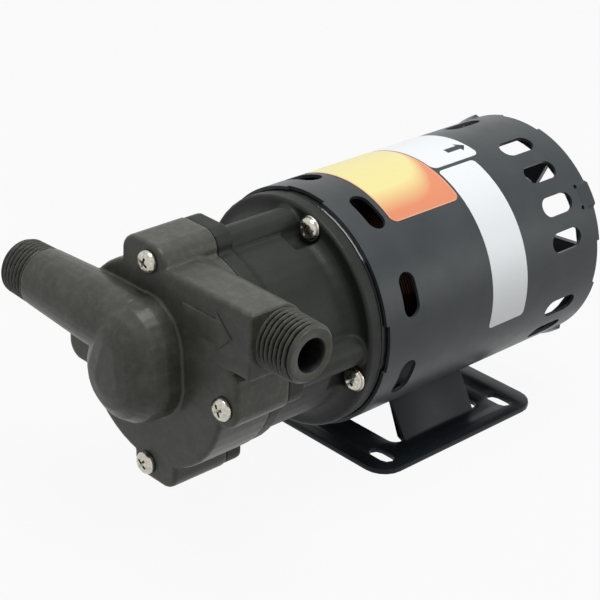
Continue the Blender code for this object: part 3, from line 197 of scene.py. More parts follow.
def black_enamel(name, gloss, sheen, dark, light):
    """Stoved black enamel on sheet steel: wet gloss over a faint orange peel."""
    made, tree, shader = surface(name)
    # Orange peel waves are 1.5 to 3 mm long and a few microns high.
    peel = grain(tree, 2.2 * MM, 1.0)
    tone = spread(tree, grain(tree, 14 * MM, 2.0), 0.3, 0.7, dark, light)
    tree.links.new(tone, shader.inputs["Base Color"])
    rough = spread(tree, grain(tree, 6 * MM, 2.0), 0.3, 0.7, gloss - 0.03, gloss + 0.04)
    tree.links.new(rough, shader.inputs["Roughness"])
    relief(tree, shader, peel, 0.006 * MM, 1.0)
    shader.inputs["IOR"].default_value = 1.52
    shader.inputs["Specular IOR Level"].default_value = sheen
    return made


def metal(name, dark, light, size, low, high, stretch=(1, 1, 1), depth=0.004 * MM):
    """A bare metal, with a tone and gloss that vary over one size, drawn out by stretch."""
    made, tree, shader = surface(name)
    coordinates = add(tree, "TexCoord").outputs["Object"]
    inputs = {"Vector": coordinates, "Scale": stretch}
    place = add(tree, "Mapping", inputs).outputs[0]
    inputs = {"Vector": place, "Scale": 1 / size, "Detail": 3.0}
    marks = add(tree, "TexNoise", inputs).outputs[0]
    tree.links.new(spread(tree, marks, 0.3, 0.7, dark, light), shader.inputs["Base Color"])
    tree.links.new(spread(tree, marks, 0.3, 0.7, low, high), shader.inputs["Roughness"])
    shader.inputs["Metallic"].default_value = 1.0
    relief(tree, shader, marks, depth)
    return made


def plain(name, dark, light, size, low, high, ior=1.5, depth=0.01 * MM):
    """A non-metal whose tone and gloss vary over one size."""
    made, tree, shader = surface(name)
    marks = grain(tree, size, 3.0)
    tree.links.new(spread(tree, marks, 0.3, 0.7, dark, light), shader.inputs["Base Color"])
    tree.links.new(spread(tree, marks, 0.3, 0.7, low, high), shader.inputs["Roughness"])
    shader.inputs["IOR"].default_value = ior
    relief(tree, shader, marks, depth)
    return made


WAVE_SCALE = pi / 10  # a wave texture of scale 1 repeats after this length


def laminated_steel():
    """Silicon steel sheets 0.5 mm thick, stacked along the shaft and varnished."""
    made, tree, shader = surface("laminated_steel")
    coordinates = add(tree, "TexCoord").outputs["Object"]
    inputs = {"Vector": coordinates, "Scale": WAVE_SCALE / (0.5 * MM)}
    sheets = add(tree, "TexWave", inputs, bands_direction="Y").outputs[1]
    base = spread(tree, sheets, 0.1, 0.5, "#3c3d40", "#8b8c8f")
    tree.links.new(base, shader.inputs["Base Color"])
    shader.inputs["Metallic"].default_value = 1.0
    shader.inputs["Roughness"].default_value = 0.42
    relief(tree, shader, sheets, 0.05 * MM)
    return made


def copper_painted_shade():
    """Enamelled copper wire, 0.5 mm thick, laced round the stator and varnished; its tone is
    drawn dark as painted shade inside the shell.
    """
    made, tree, shader = surface("copper_painted_shade")
    coordinates = add(tree, "TexCoord").outputs["Object"]
    inputs = {"Vector": coordinates, "Scale": WAVE_SCALE / (0.5 * MM), "Distortion": 1.5}
    wires = add(tree, "TexWave", inputs, bands_direction="Y").outputs[1]
    # The dark brown range is painted shade on the copper inside the motor.
    base = spread(tree, wires, 0.1, 0.8, "#160d08", "#563620")
    tree.links.new(base, shader.inputs["Base Color"])
    shader.inputs["Metallic"].default_value = 0.6
    shader.inputs["Roughness"].default_value = 0.34
    relief(tree, shader, wires, 0.15 * MM)
    return made


BARE_MIDDLE = radians(61)
BARE_HALF = radians(17)


def casting_black_bare_arc():
    """Die-cast aluminium, drawn black round its rim except on one bare arc."""
    made, tree, shader = surface("casting_black_bare_arc")
    place = add(tree, "SeparateXYZ", {0: add(tree, "TexCoord").outputs["Object"]})
    rise = add(tree, "Math", {0: place.outputs[2], 1: AXIS_HEIGHT}, operation="SUBTRACT")
    turn = add(tree, "Math", {0: rise.outputs[0], 1: place.outputs[0]}, operation="ARCTAN2")
    # The bare arc runs from 44 to 78 degrees round the axis, with a ragged end.
    away = add(tree, "Math", {0: turn.outputs[0], 1: BARE_MIDDLE}, operation="SUBTRACT")
    away = add(tree, "Math", {0: away.outputs[0]}, operation="ABSOLUTE")
    ragged = spread(tree, grain(tree, 1.5 * MM, 3.0), 0.3, 0.7, -0.05, 0.05)
    edge = add(tree, "Math", {0: away.outputs[0], 1: ragged})
    fade = radians(1)
    bare = spread(tree, edge.outputs[0], BARE_HALF + fade, BARE_HALF - fade, 0.0, 1.0)
    inputs = {0: bare, 6: linear("#131415"), 7: linear("#b4b6b8")}
    mix = add(tree, "Mix", inputs, data_type="RGBA")
    tree.links.new(mix.outputs[2], shader.inputs["Base Color"])
    tree.links.new(bare, shader.inputs["Metallic"])
    marks = grain(tree, 1.2 * MM, 3.0)
    tree.links.new(spread(tree, marks, 0.3, 0.7, 0.3, 0.45), shader.inputs["Roughness"])
    relief(tree, shader, marks, 0.01 * MM)
    return made


def label_vinyl(name, colour):
    """Printed vinyl label: smooth, with the shell's orange peel just showing through."""
    made, tree, shader = surface(name)
    faint = grain(tree, 3 * MM, 2.0)
    shader.inputs["Base Color"].default_value = linear(colour)
    tree.links.new(spread(tree, faint, 0.3, 0.7, 0.3, 0.4), shader.inputs["Roughness"])
    relief(tree, shader, faint, 0.006 * MM)
    return made


SHADED_AROUND = 46.2  # mm round the shell
SHADED_ALONG = 32.5  # mm along it


def shaded_vinyl():
    """The same vinyl, printed yellow, with orange along its lower edge and rear corner."""
    made, tree, shader = surface("yellow_to_orange_vinyl")
    # U runs round the shell and V along it, both from 0 to 1.
    across = add(tree, "SeparateXYZ", {0: add(tree, "TexCoord").outputs["UV"]})
    u, v = across.outputs[0], across.outputs[1]
    corner = add(tree, "Math", {0: v, 1: 6.0}, operation="POWER")
    corner = add(tree, "Math", {0: corner.outputs[0], 1: 0.42}, operation="MULTIPLY")
    climb = add(tree, "Math", {0: u, 1: corner.outputs[0]}, operation="SUBTRACT")
    tone = spread(tree, climb.outputs[0], 0.08, 0.3, "#e88f66", "#f1e59c")
    # The print stops 0.4 mm short of the cut edge and leaves a pale rim.
    edge = None
    for share, span in ((u, SHADED_AROUND), (v, SHADED_ALONG)):
        middle = add(tree, "Math", {0: share, 1: 0.5}, operation="SUBTRACT")
        middle = add(tree, "Math", {0: middle.outputs[0]}, operation="ABSOLUTE")
        inputs = {0: middle.outputs[0], 1: 0.5 - 0.4 / span}
        near = add(tree, "Math", inputs, operation="GREATER_THAN")
        if edge:
            inputs = {0: near.outputs[0], 1: edge.outputs[0]}
            near = add(tree, "Math", inputs, operation="MAXIMUM")
        edge = near
    inputs = {0: edge.outputs[0], 6: tone, 7: linear("#eeb08b")}
    tone = add(tree, "Mix", inputs, data_type="RGBA").outputs[2]
    tree.links.new(tone, shader.inputs["Base Color"])
    faint = grain(tree, 3 * MM, 2.0)
    tree.links.new(spread(tree, faint, 0.3, 0.7, 0.3, 0.4), shader.inputs["Roughness"])
    return made


CASING = glass_filled_polypropylene()
PAINTED_SHADE_PLASTIC = polypropylene_painted_shade()
ADAPTOR = black_nylon()
SHELL_PAINT = black_enamel("shell_enamel", 0.36, 0.22, "#3b3f41", "#434749")
# The base's enamel is drawn darker than the shell's, as painted shade on the plate under the
# motor.
BASE_PAINT = black_enamel("base_enamel", 0.3, 0.15, "#22262a", "#272b30")
CASTING_BARE_ARC = casting_black_bare_arc()
CAST = metal("die_cast_aluminium", "#85878a", "#a9abad", 1.5 * MM, 0.32, 0.48)
BRIGHT = metal("stainless_steel", "#a9a59b", "#d8d4c9", 0.8 * MM, 0.16, 0.3)
GROUND = metal("ground_steel", "#8f9092", "#b9babb", 0.5 * MM, 0.15, 0.28, (1, 12, 1))
DARK = metal("blackened_steel", "#2c2d30", "#45474a", 1.5 * MM, 0.35, 0.5)
BRONZE = metal("sintered_bronze", "#6f5331", "#967247", 0.4 * MM, 0.4, 0.6)
FERRITE = plain("sintered_ferrite", "#26272a", "#35363a", 0.7 * MM, 0.5, 0.7)
CERAMIC = plain("ground_alumina", "#dcd9cd", "#ebe8de", 1.2 * MM, 0.15, 0.3, 1.76)
CARBON = plain("pressed_carbon", "#1b1c1d", "#2a2b2c", 0.6 * MM, 0.35, 0.55)
RUBBER = plain("moulded_rubber", "#161616", "#202020", 0.8 * MM, 0.6, 0.8)
PALE = plain("natural_polypropylene", "#bdb9ac", "#cfcbbf", 3 * MM, 0.4, 0.55, 1.49)
LAMINATED = laminated_steel()
COPPER = copper_painted_shade()
WHITE_VINYL = label_vinyl("white_vinyl", "#eff2f4")
SHADED_VINYL = shaded_vinyl()
INK = plain("black_ink", "#141414", "#1c1c1c", 1 * MM, 0.4, 0.5)


# Shapes


def along(origin, direction):
    """Local Z along a direction, at an origin."""
    turn = Vector((0, 0, 1)).rotation_difference(Vector(direction)).to_matrix().to_4x4()
    return Matrix.Translation(origin) @ turn


def piece(name, mesh, material, body="root", stands_for=()):
    """A new object of a mesh, which rides on a body."""
    obj = bpy.data.objects.new(name, mesh)
    bpy.context.scene.collection.objects.link(obj)
    mesh.materials.clear()
    mesh.materials.append(material)
    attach(obj, body)
    if stands_for:
        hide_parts(*stands_for)
    return obj


def cad_shape(node):
    """A CAD node's faces, with their split corners joined and each flat face whole."""
    shape = bmesh.new()
    shape.from_mesh(frame["nodes"][node].data)
    bmesh.ops.remove_doubles(shape, verts=shape.verts, dist=WELD)
    bmesh.ops.dissolve_limit(
        shape, angle_limit=radians(0.5), verts=shape.verts, edges=shape.edges
    )
    return shape


def baked(mesh, *modifiers):
    """The mesh after modifiers, each a type with its settings."""
    holder = bpy.data.objects.new("holder", mesh)
    bpy.context.scene.collection.objects.link(holder)
    for kind, settings in modifiers:
        step = holder.modifiers.new(kind, kind)
        for name, value in settings.items():
            setattr(step, name, value)
    graph = bpy.context.evaluated_depsgraph_get()
    made = bpy.data.meshes.new_from_object(holder.evaluated_get(graph))
    bpy.data.objects.remove(holder)
    return made


def finished(name, shape, sharp):
    """The mesh of a bmesh, smooth except at edges sharper than an angle in degrees."""
    mesh = bpy.data.meshes.new(name)
    shape.to_mesh(mesh)
    shape.free()
    mesh.shade_smooth()
    mesh.set_sharp_from_angle(angle=radians(sharp))
    return mesh


def circle(shape, radii, z):
    """A ring of new points at one height; each point has a radius of its own."""
    turns = [2 * pi * i / len(radii) for i in range(len(radii))]
    return [shape.verts.new((r * cos(t), r * sin(t), z)) for r, t in zip(radii, turns)]


def block(low, high):
    """A box between two corners, as an object that a Boolean can use."""
    shape = bmesh.new()
    size = [b - a for a, b in zip(low, high)]
    middle = [(a + b) / 2 for a, b in zip(low, high)]
    bmesh.ops.create_cube(
        shape, size=1, matrix=Matrix.Translation(middle) @ Matrix.Diagonal((*size, 1))
    )
    return tool(shape)


def tool(shape):
    """A cutter made of a bmesh, hidden from renders."""
    mesh = bpy.data.meshes.new("tool")
    shape.to_mesh(mesh)
    shape.free()
    obj = bpy.data.objects.new("tool", mesh)
    obj.hide_render = True
    bpy.context.scene.collection.objects.link(obj)
    return obj


def difference(cutter):
    return ("BOOLEAN", {"operation": "DIFFERENCE", "solver": "EXACT", "object": cutter})


def moulded(name, node, rounds, material, cutters=()):
    """A CAD node with the soft edges of a moulding: resampled evenly, then relaxed."""
    voxel = 0.45 * MM
    mesh = bpy.data.meshes.new(name)
    shape = bmesh.new()
    shape.from_mesh(frame["nodes"][node].data)
    bmesh.ops.remove_doubles(shape, verts=shape.verts, dist=WELD)
    shape.to_mesh(mesh)
    shape.free()
    steps = [difference(cutter) for cutter in cutters]
    steps += [
        ("REMESH", {"mode": "VOXEL", "voxel_size": voxel}),
        ("SMOOTH", {"factor": 0.5, "iterations": rounds}),
        ("DECIMATE", {"ratio": 0.3}),
    ]
    made = baked(mesh, *steps)
    for cutter in cutters:
        bpy.data.objects.remove(cutter)
    made.shade_smooth()
    piece(name, made, material, "root", [node])


SHARP = 40  # degrees between the faces of an edge that gets a round


def bevelled(name, node, width, material, body="root", segments=2):
    """A CAD node with its sharp edges broken by a narrow round."""
    shape = cad_shape(node)
    closed = [e for e in shape.edges if len(e.link_faces) == 2]
    edges = [e for e in closed if e.calc_face_angle() > radians(SHARP)]
    bmesh.ops.bevel(
        shape,
        geom=edges,
        offset=width,
        segments=segments,
        profile=0.5,
        affect="EDGES",
        clamp_overlap=False,
    )
    piece(name, finished(name, shape, 32), material, body, [node])


def round_normals(obj, *radii):
    """Gives the faces on cylinders round the motor axis their true normals."""
    mesh = obj.data
    normals = [Vector((0, 0, 0))] * len(mesh.loops)
    for face in mesh.polygons:
        out = Vector((face.center.x, 0, face.center.z - AXIS_HEIGHT)).normalized()
        facing = face.normal.dot(out)
        if abs(facing) < 0.99:
            continue
        for loop in face.loop_indices:
            point = mesh.vertices[mesh.loops[loop].vertex_index].co
            radius = hypot(point.x, point.z - AXIS_HEIGHT)
            if any(abs(radius - r) < 0.2 * MM for r in radii):
                radial = Vector((point.x, 0, point.z - AXIS_HEIGHT)).normalized()
                normals[loop] = radial if facing > 0 else -radial
    mesh.normals_split_custom_set(normals)


# The pump head

THREAD_PITCH = 1.814 * MM  # 14 to the inch
THREAD_RADIUS = 10.2 * MM
THREAD_TAPER = 1 / 32
THREAD_DEPTH = 1.45 * MM  # 0.8 of the pitch
THREAD_START = 0.6 * MM  # the grooves deepen over this length
THREAD_CHAMFER = 1.4 * MM  # length of the tapered mouth
TUBE_RADIUS = 8.6 * MM  # of the nipple inside the casing
TUBE_LENGTH = 4 * MM
PORT_BORE = 5.4 * MM  # radius of the water way
INLET_BASE = (-47.9 * MM, -90.05 * MM, 70.5 * MM)
INLET_LENGTH = 12.4 * MM
OUTLET_BASE = (47.0 * MM, -73.35 * MM, 81.5 * MM)
OUTLET_LENGTH = 13.8 * MM


def threaded_nipple(name, base, direction, length):
    """A taper pipe thread, moulded in the same plastic, on a tube with the port's bore."""
    around, rows = 96, 84
    shape = bmesh.new()
    skin = []
    for row in range(rows + 1):
        z = length * row / rows
        envelope = THREAD_RADIUS - THREAD_TAPER * z - 0.05 * MM
        envelope -= max(0, z - length + THREAD_CHAMFER) * 0.8
        start = min(1, z / THREAD_START)
        end = min(1, (length - z) / (1.2 * MM))
        radii = []
        for i in range(around):
            phase = (z / THREAD_PITCH - i / around) % 1
            # A vee of about 55 degrees, whose crest is cut flat over a fifth of the pitch.
            height = min(1, max(0, 1.25 - abs(phase - 0.5) * 2.5))
            radii.append(envelope - THREAD_DEPTH * (1 - height) * start * end)
        skin.append(circle(shape, radii, z))
    tube = (
        (PORT_BORE + 0.3 * MM, length),
        (PORT_BORE, length - 0.3 * MM),
        (PORT_BORE - 0.1 * MM, length - 2 * MM),
        (PORT_BORE - 0.1 * MM, -TUBE_LENGTH),
        (TUBE_RADIUS, -TUBE_LENGTH),
        (TUBE_RADIUS, 0),
    )
    skin += [circle(shape, [radius] * around, z) for radius, z in tube]
    # The faces of the bore and the thread's roots get the darker plastic, as painted shade.
    painted_shade_faces = []
    for row, (low, high) in enumerate(zip(skin, skin[1:] + skin[:1])):
        for i in range(around):
            j = (i + 1) % around
            face = shape.faces.new((low[i], low[j], high[j], high[i]))
            middle = face.calc_center_median()
            halfway = THREAD_RADIUS - 0.5 * THREAD_DEPTH - THREAD_TAPER * middle.z
            root = hypot(middle.x, middle.y) < halfway
            threaded = THREAD_START < middle.z < length - THREAD_CHAMFER
            if row > rows or root and threaded:
                painted_shade_faces.append(row * around + i)
    bmesh.ops.recalc_face_normals(shape, faces=shape.faces)
    bmesh.ops.transform(shape, matrix=along(base, direction), verts=shape.verts)
    mesh = finished(name, shape, 50)
    piece(name, mesh, CASING, "root", ())
    mesh.materials.append(PAINTED_SHADE_PLASTIC)
    for number in painted_shade_faces:
        mesh.polygons[number].material_index = 1


def flow_arrow():
    """A plain arrow towards the outlet, raised as a low pad on the casing's face."""
    high = 0.7 * MM
    tail, neck, tip = 16.5 * MM, 31.9 * MM, 38.9 * MM
    middle = AXIS_HEIGHT + 24.7 * MM
    shaft, barb = 4.2 * MM, 6.4 * MM
    upper = [(tail, shaft), (neck, shaft), (neck, barb), (tip, 0)]
    outline = upper + [(x, -z) for x, z in upper[-2::-1]]
    shape = bmesh.new()
    points = [shape.verts.new((x, FACE_Y + high, middle + z)) for x, z in outline]
    face = shape.faces.new(points)
    made = bmesh.ops.extrude_face_region(shape, geom=[face])
    raised = [item for item in made["geom"] if isinstance(item, bmesh.types.BMVert)]
    bmesh.ops.translate(shape, verts=raised, vec=(0, -2 * high, 0))
    bmesh.ops.recalc_face_normals(shape, faces=shape.faces)
    rims = [e for e in shape.edges if all(v.co.y < FACE_Y for v in e.verts)]
    bmesh.ops.bevel(shape, geom=rims, offset=0.5 * MM, segments=3, profile=0.5, affect="EDGES")
    mesh = finished("flow_arrow", shape, 50)
    piece("flow_arrow", mesh, CASING, "root", ())


def pump_head():
    """The casing without its plain nozzle ends, and threaded nipples in their place."""
    reach = 70 * MM
    beyond_outlet = block((OUTLET_BASE[0], -reach * 2, 0), (reach, 0, 2 * reach))
    beyond_inlet = block((-reach, -reach * 2, 0), (INLET_BASE[0], 0, 2 * reach))
    cutters = (beyond_outlet, beyond_inlet)
    moulded("casing_moulding", "front_casing", 3, CASING, cutters)
    threaded_nipple("inlet_thread", INLET_BASE, (-1, 0, 0), INLET_LENGTH)
    threaded_nipple("outlet_thread", OUTLET_BASE, (1, 0, 0), OUTLET_LENGTH)
    flow_arrow()
    moulded("adaptor_moulding", "motor_adaptor", 2, ADAPTOR)


# Screws

# Radius of the head and of the shank, length of the shank and overhang of the washer.
COVER_SCREW = (3.9 * MM, 1.75 * MM, 41 * MM, 0)
ADAPTOR_SCREW = (4.3 * MM, 2.4 * MM, 12 * MM, 0.45 * MM)
COVER_CIRCLE = 36.1 * MM
ADAPTOR_CIRCLE = 36.3 * MM
# Degrees round the axis of the first screw of each set of four.
COVER_FIRST = 90
ADAPTOR_FIRST = 73
# How far each cross recess is turned, in degrees.
COVER_SPINS = (20, 65, 35, 10)
ADAPTOR_SPINS = (15, 50, 75, 30)


def screw_head(radius, height, washer):
    """Points of a pan head from its crown to its rim, with a washer under it if it has one."""
    rim = radius - washer
    points = [(0, -height), (rim * 0.5, -height * 0.97), (rim * 0.74, -height * 0.88)]
    points += [(rim * 0.9, -height * 0.7), (rim * 0.98, -height * 0.45), (rim, -height * 0.28)]
    if washer:
        points += [(radius - 0.1 * MM, -height * 0.28), (radius, -height * 0.2)]
    return points + [(radius, -0.05 * MM), (radius - 0.05 * MM, 0)]


def cross_recess(radius, height):
    """A cutter for the cross recess: a plus that tapers to its bottom."""
    shape = bmesh.new()
    rows = []
    for z, long, wide in ((-height * 1.05, 0.56, 0.125), (-height * 0.15, 0.26, 0.085)):
        a, b = radius * long, radius * wide
        plus = [(a, -b), (a, b), (b, b), (b, a), (-b, a), (-b, b)]
        plus += [(-x, -y) for x, y in plus]
        rows.append([shape.verts.new((x, y, z)) for x, y in plus])
    low, high = rows
    shape.faces.new(low)
    shape.faces.new(high)
    for i in range(len(low)):
        j = (i + 1) % len(low)
        shape.faces.new((low[i], low[j], high[j], high[i]))
    bmesh.ops.recalc_face_normals(shape, faces=shape.faces)
    return tool(shape)


def pan_head_screw(name, node, place, spin, radius, shank, length, washer):
    """A cross-recess pan-head screw with a rolled thread; its head lies ahead of the place."""
    height = radius * 0.6
    around = 40
    pitch = shank * 0.42
    shape = bmesh.new()
    profile = screw_head(radius, height, washer)
    rows = int(length / (pitch / 5))
    crown = shape.verts.new((0, 0, -height))
    rings = [circle(shape, [across] * around, z) for across, z in profile[1:]]
    for row in range(rows + 1):
        z = length * row / rows
        point = min(1, (length - z) / (1.5 * MM) + 0.35)
        phases = [(z / pitch - i / around) % 1 for i in range(around)]
        radii = [(shank - shank * 0.2 * abs(phase - 0.5) * 2) * point for phase in phases]
        rings.append(circle(shape, radii, z))
    for i in range(around):
        shape.faces.new((crown, rings[0][i], rings[0][(i + 1) % around]))
    for low, high in zip(rings, rings[1:]):
        for i in range(around):
            j = (i + 1) % around
            shape.faces.new((low[i], low[j], high[j], high[i]))
    shape.faces.new(rings[-1])
    bmesh.ops.recalc_face_normals(shape, faces=shape.faces)
    mesh = bpy.data.meshes.new(name)
    shape.to_mesh(mesh)
    shape.free()
    cutter = cross_recess(radius - washer, height)
    made = baked(mesh, difference(cutter))
    bpy.data.objects.remove(cutter)
    turn = Matrix.Rotation(-pi / 2, 4, "X") @ Matrix.Rotation(radians(spin), 4, "Z")
    made.transform(Matrix.Translation(place) @ turn)
    made.shade_smooth()
    made.set_sharp_from_angle(angle=radians(35))
    piece(name, made, BRIGHT, "root", [node])


def polar(radius, angle, y):
    """A place at a radius and degrees round the motor axis, and a distance along it."""
    turn = radians(angle)
    return Vector((radius * cos(turn), y, AXIS_HEIGHT + radius * sin(turn)))


def screws():
    sets = (
        ("cover", COVER_CIRCLE, COVER_FIRST, FACE_Y, COVER_SPINS, COVER_SCREW),
        ("adaptor", ADAPTOR_CIRCLE, ADAPTOR_FIRST, FLANGE_Y, ADAPTOR_SPINS, ADAPTOR_SCREW),
    )
    for kind, radius, first, face, spins, sizes in sets:
        for number, spin in enumerate(spins):
            place = polar(radius, first - 90 * number, face - HEAD_GAP)
            node = f"{kind}_screw_{number + 1}"
            pan_head_screw(f"{kind}_pan_screw_{number + 1}", node, place, spin, *sizes)


# The motor

# Angles are in degrees round the axis, from +X towards +Z.
CRIMP_ANGLE = 35.5  # middle of the first of four crimps
CRIMP_HALF = 5.4
CRIMP_SIDE = 1.6  # the sheet slopes back to the shell over this
CRIMP_LENGTH = 5.6 * MM
CRIMP_FLARE = 1.2 * MM
CRIMP_MARK = (1.7 * MM, 1.4 * MM)
NOTCH_HALF = 11.75
NOTCH_DEPTH = 1.2 * MM
VENT = (15.5 * MM, 7.2 * MM)
FRONT_VENT_Y = SHELL_FRONT + 12.3 * MM
FRONT_VENT_FIRST = -21.2
FRONT_VENT_STEP = 43.2
REAR_VENT_Y = SHELL_REAR - 17.5 * MM
REAR_VENT_STEP = 18
LEAD_ANGLE = 216
LEAD_Y = SHELL_FRONT + 23.5 * MM
LEAD_RADIUS = 4.5 * MM
LABEL_GAP = 0.02 * MM
LABEL_THICK = 0.1 * MM
INK_THICK = 0.02 * MM


def thicken(shape, thick):
    """Turns a skin round the motor axis into a wall, outward or, below zero, inward."""
    made = bmesh.ops.extrude_face_region(shape, geom=shape.faces[:])
    for item in made["geom"]:
        if isinstance(item, bmesh.types.BMVert):
            out = Vector((item.co.x, 0, item.co.z - AXIS_HEIGHT)).normalized()
            item.co += out * thick
    bmesh.ops.recalc_face_normals(shape, faces=shape.faces)


def on_shell(outline, radius, thick):
    """A flat outline of (degrees round, distance along Y), wrapped round the shell."""
    shape = bmesh.new()
    points = [shape.verts.new((radians(a) * radius, y, 0)) for a, y in outline]
    shape.faces.new(points)
    low, high = min(a for a, _ in outline), max(a for a, _ in outline)
    steps = max(2, int((high - low) / 2.5))
    for i in range(1, steps):
        at = radians(low + (high - low) * i / steps) * radius
        geometry = shape.verts[:] + shape.edges[:] + shape.faces[:]
        bmesh.ops.bisect_plane(shape, geom=geometry, plane_co=(at, 0, 0), plane_no=(1, 0, 0))
    uv = shape.loops.layers.uv.new("UVMap")
    front, back = min(y for _, y in outline), max(y for _, y in outline)
    width = radians(high - low) * radius
    for face in shape.faces:
        for loop in face.loops:
            share = (loop.vert.co.x - radians(low) * radius) / width
            loop[uv].uv = (share, (loop.vert.co.y - front) / (back - front))
    for vert in shape.verts:
        vert.co = polar(radius, vert.co.x / radius * 180 / pi, vert.co.y)
    thicken(shape, thick)
    return finished("wrapped", shape, 30)


def slot_outline(length, width, steps=10):
    """Corners of a slot with round ends, its length along the first axis."""
    radius, reach = width / 2, (length - width) / 2
    turns = [radians(180 * i / steps - 90) for i in range(steps + 1)]
    right = [(reach + radius * cos(t), radius * sin(t)) for t in turns]
    return right + [(-x, -y) for x, y in right]


def rim(depth):
    """One edge of the shell's flat sheet, as (degrees, distance in from the edge)."""
    half = NOTCH_HALF
    line = [(-90, depth), (half - 90, depth), (half - 90, 0)]
    for middle in (0, 90, 180, 270):
        line += [(middle - half, 0), (middle - half, depth)]
        if middle < 270:
            line += [(middle + half, depth), (middle + half, 0)]
    return line + [(270, depth)]


def rolled_shell():
    """The motor's shell: a flat sheet with its holes punched, rolled round the motor axis."""
    degree = radians(1) * SHELL_RADIUS
    notched = rim(NOTCH_DEPTH)
    front = [(a, SHELL_FRONT + d) for a, d in notched]
    rear = [(a, SHELL_REAR - d) for a, d in notched[::-1]]
    flat = [front + rear]

    def punch(middle, y, outline):
        middle = (middle + 90) % 360 - 90
        flat.append([(middle + across / degree, y + ahead) for across, ahead in outline])

    vent = slot_outline(*VENT)
    for number in range(8):
        punch(FRONT_VENT_STEP * number + FRONT_VENT_FIRST, FRONT_VENT_Y, vent)
    for number in range(16):
        middle = 90 * (number // 4) + REAR_VENT_STEP * (number % 4 + 1)
        punch(middle, REAR_VENT_Y, [(y, x) for x, y in vent])
    turns = [radians(15 * i) for i in range(24)]
    punch(LEAD_ANGLE, LEAD_Y, [(LEAD_RADIUS * cos(t), LEAD_RADIUS * sin(t)) for t in turns])
    bend = SHELL_REAR - CRIMP_LENGTH
    for number in range(8):
        # Each crimp has a round mark of the crimping tool at its two front corners.
        middle = 90 * (number // 2) + CRIMP_ANGLE + CRIMP_HALF * (2 * (number % 2) - 1)
        punch(middle, bend, slot_outline(*CRIMP_MARK, 5))
    shape = bmesh.new()
    edges = []
    for outline in flat:
        points = [shape.verts.new((a * degree, y, 0)) for a, y in outline]
        edges += [shape.edges.new((points[i - 1], points[i])) for i in range(len(points))]
    bmesh.ops.triangle_fill(shape, use_beauty=True, edges=edges, normal=(0, 0, 1))
    steps = 192
    cuts = [((360 * i / steps - 90) * degree, 0) for i in range(1, steps)]
    for number in range(4):
        for side in (-1, 1):
            for edge in (CRIMP_HALF, CRIMP_HALF + CRIMP_SIDE):
                turn = (90 * number + CRIMP_ANGLE + side * edge + 90) % 360 - 90
                cuts.append((turn * degree, 0))
    cuts += [(0, bend + CRIMP_LENGTH * i / 4) for i in range(4)]
    for x, y in cuts:
        geometry = shape.verts[:] + shape.edges[:] + shape.faces[:]
        plane = (0, 1, 0) if y else (1, 0, 0)
        bmesh.ops.bisect_plane(shape, geom=geometry, plane_co=(x, y, 0), plane_no=plane)
    for vert in shape.verts:
        turn = vert.co.x / degree
        off = abs((turn - CRIMP_ANGLE + 45) % 90 - 45)
        side = min(1, max(0, (CRIMP_HALF + CRIMP_SIDE - off) / CRIMP_SIDE))
        climb = max(0, vert.co.y - bend) / CRIMP_LENGTH
        vert.co = polar(SHELL_RADIUS + CRIMP_FLARE * climb * side, turn, vert.co.y)
    bmesh.ops.remove_doubles(shape, verts=shape.verts, dist=WELD)
    thicken(shape, -SHELL_WALL)
    mesh = finished("rolled_shell", shape, 15)
    shell = piece("rolled_shell", mesh, SHELL_PAINT, "root", ["motor_shell"])
    round_normals(shell, SHELL_RADIUS, SHELL_RADIUS - SHELL_WALL)


def rounded(low, high, front, back, corner):
    """A rounded rectangle in degrees round the shell and distance along Y."""
    step = corner / SHELL_RADIUS * 180 / pi
    points = []
    corners = ((high, back, 0), (low, back, 90), (low, front, 180), (high, front, 270))
    for cx, cy, start in corners:
        sx = 1 if cx == high else -1
        sy = 1 if cy == back else -1
        for i in range(7):
            turn = radians(start + 15 * i)
            across = cx - sx * step + step * cos(turn)
            points.append((across, cy - sy * corner + corner * sin(turn)))
    return points


def labels():
    radius = SHELL_RADIUS + LABEL_GAP
    outside = radius + LABEL_THICK
    # Lowest and highest angle, front and back edge, and radius of the corners.
    spots = (
        ("shaded_label", (55, 118, -1.85 * MM, 30.65 * MM, 2.6 * MM), SHADED_VINYL),
        ("arrow_label", (75.2, 118, 31.15 * MM, 54.65 * MM, 2.6 * MM), WHITE_VINYL),
        ("long_label", (-12, 73, 31.65 * MM, 49.65 * MM, 1.6 * MM), WHITE_VINYL),
    )
    for name, place, material in spots:
        mesh = on_shell(rounded(*place), radius, LABEL_THICK)
        obj = piece(name, mesh, material, "root", ())
        round_normals(obj, outside)
    # A plain arrow that shows which way the shaft turns.
    stem = [(82.7, 44.4), (86.1, 44.4), (86.1, 50.8)]
    head = [(88.2, 50.8), (84.4, 54), (80.6, 50.8), (82.7, 50.8)]
    outline = [(a, y * MM) for a, y in stem + head]
    mesh = on_shell(outline, outside, INK_THICK)
    obj = piece("turning_arrow", mesh, INK, "root", ())
    round_normals(obj, outside + INK_THICK)


def motor():
    rolled_shell()
    bevelled("front_bell_casting", "front_end_bell", 0.15 * MM, CASTING_BARE_ARC, segments=1)
    bevelled("rear_bell_pressing", "rear_end_bell", 0.3 * MM, SHELL_PAINT)
    bevelled("cast_fan", "cooling_fan", 0.15 * MM, CAST, "rotor", segments=1)
    bevelled("folded_base", "base_bracket", 0.25 * MM, BASE_PAINT)
    bevelled("grommet", "lead_grommet", 0.3 * MM, RUBBER)


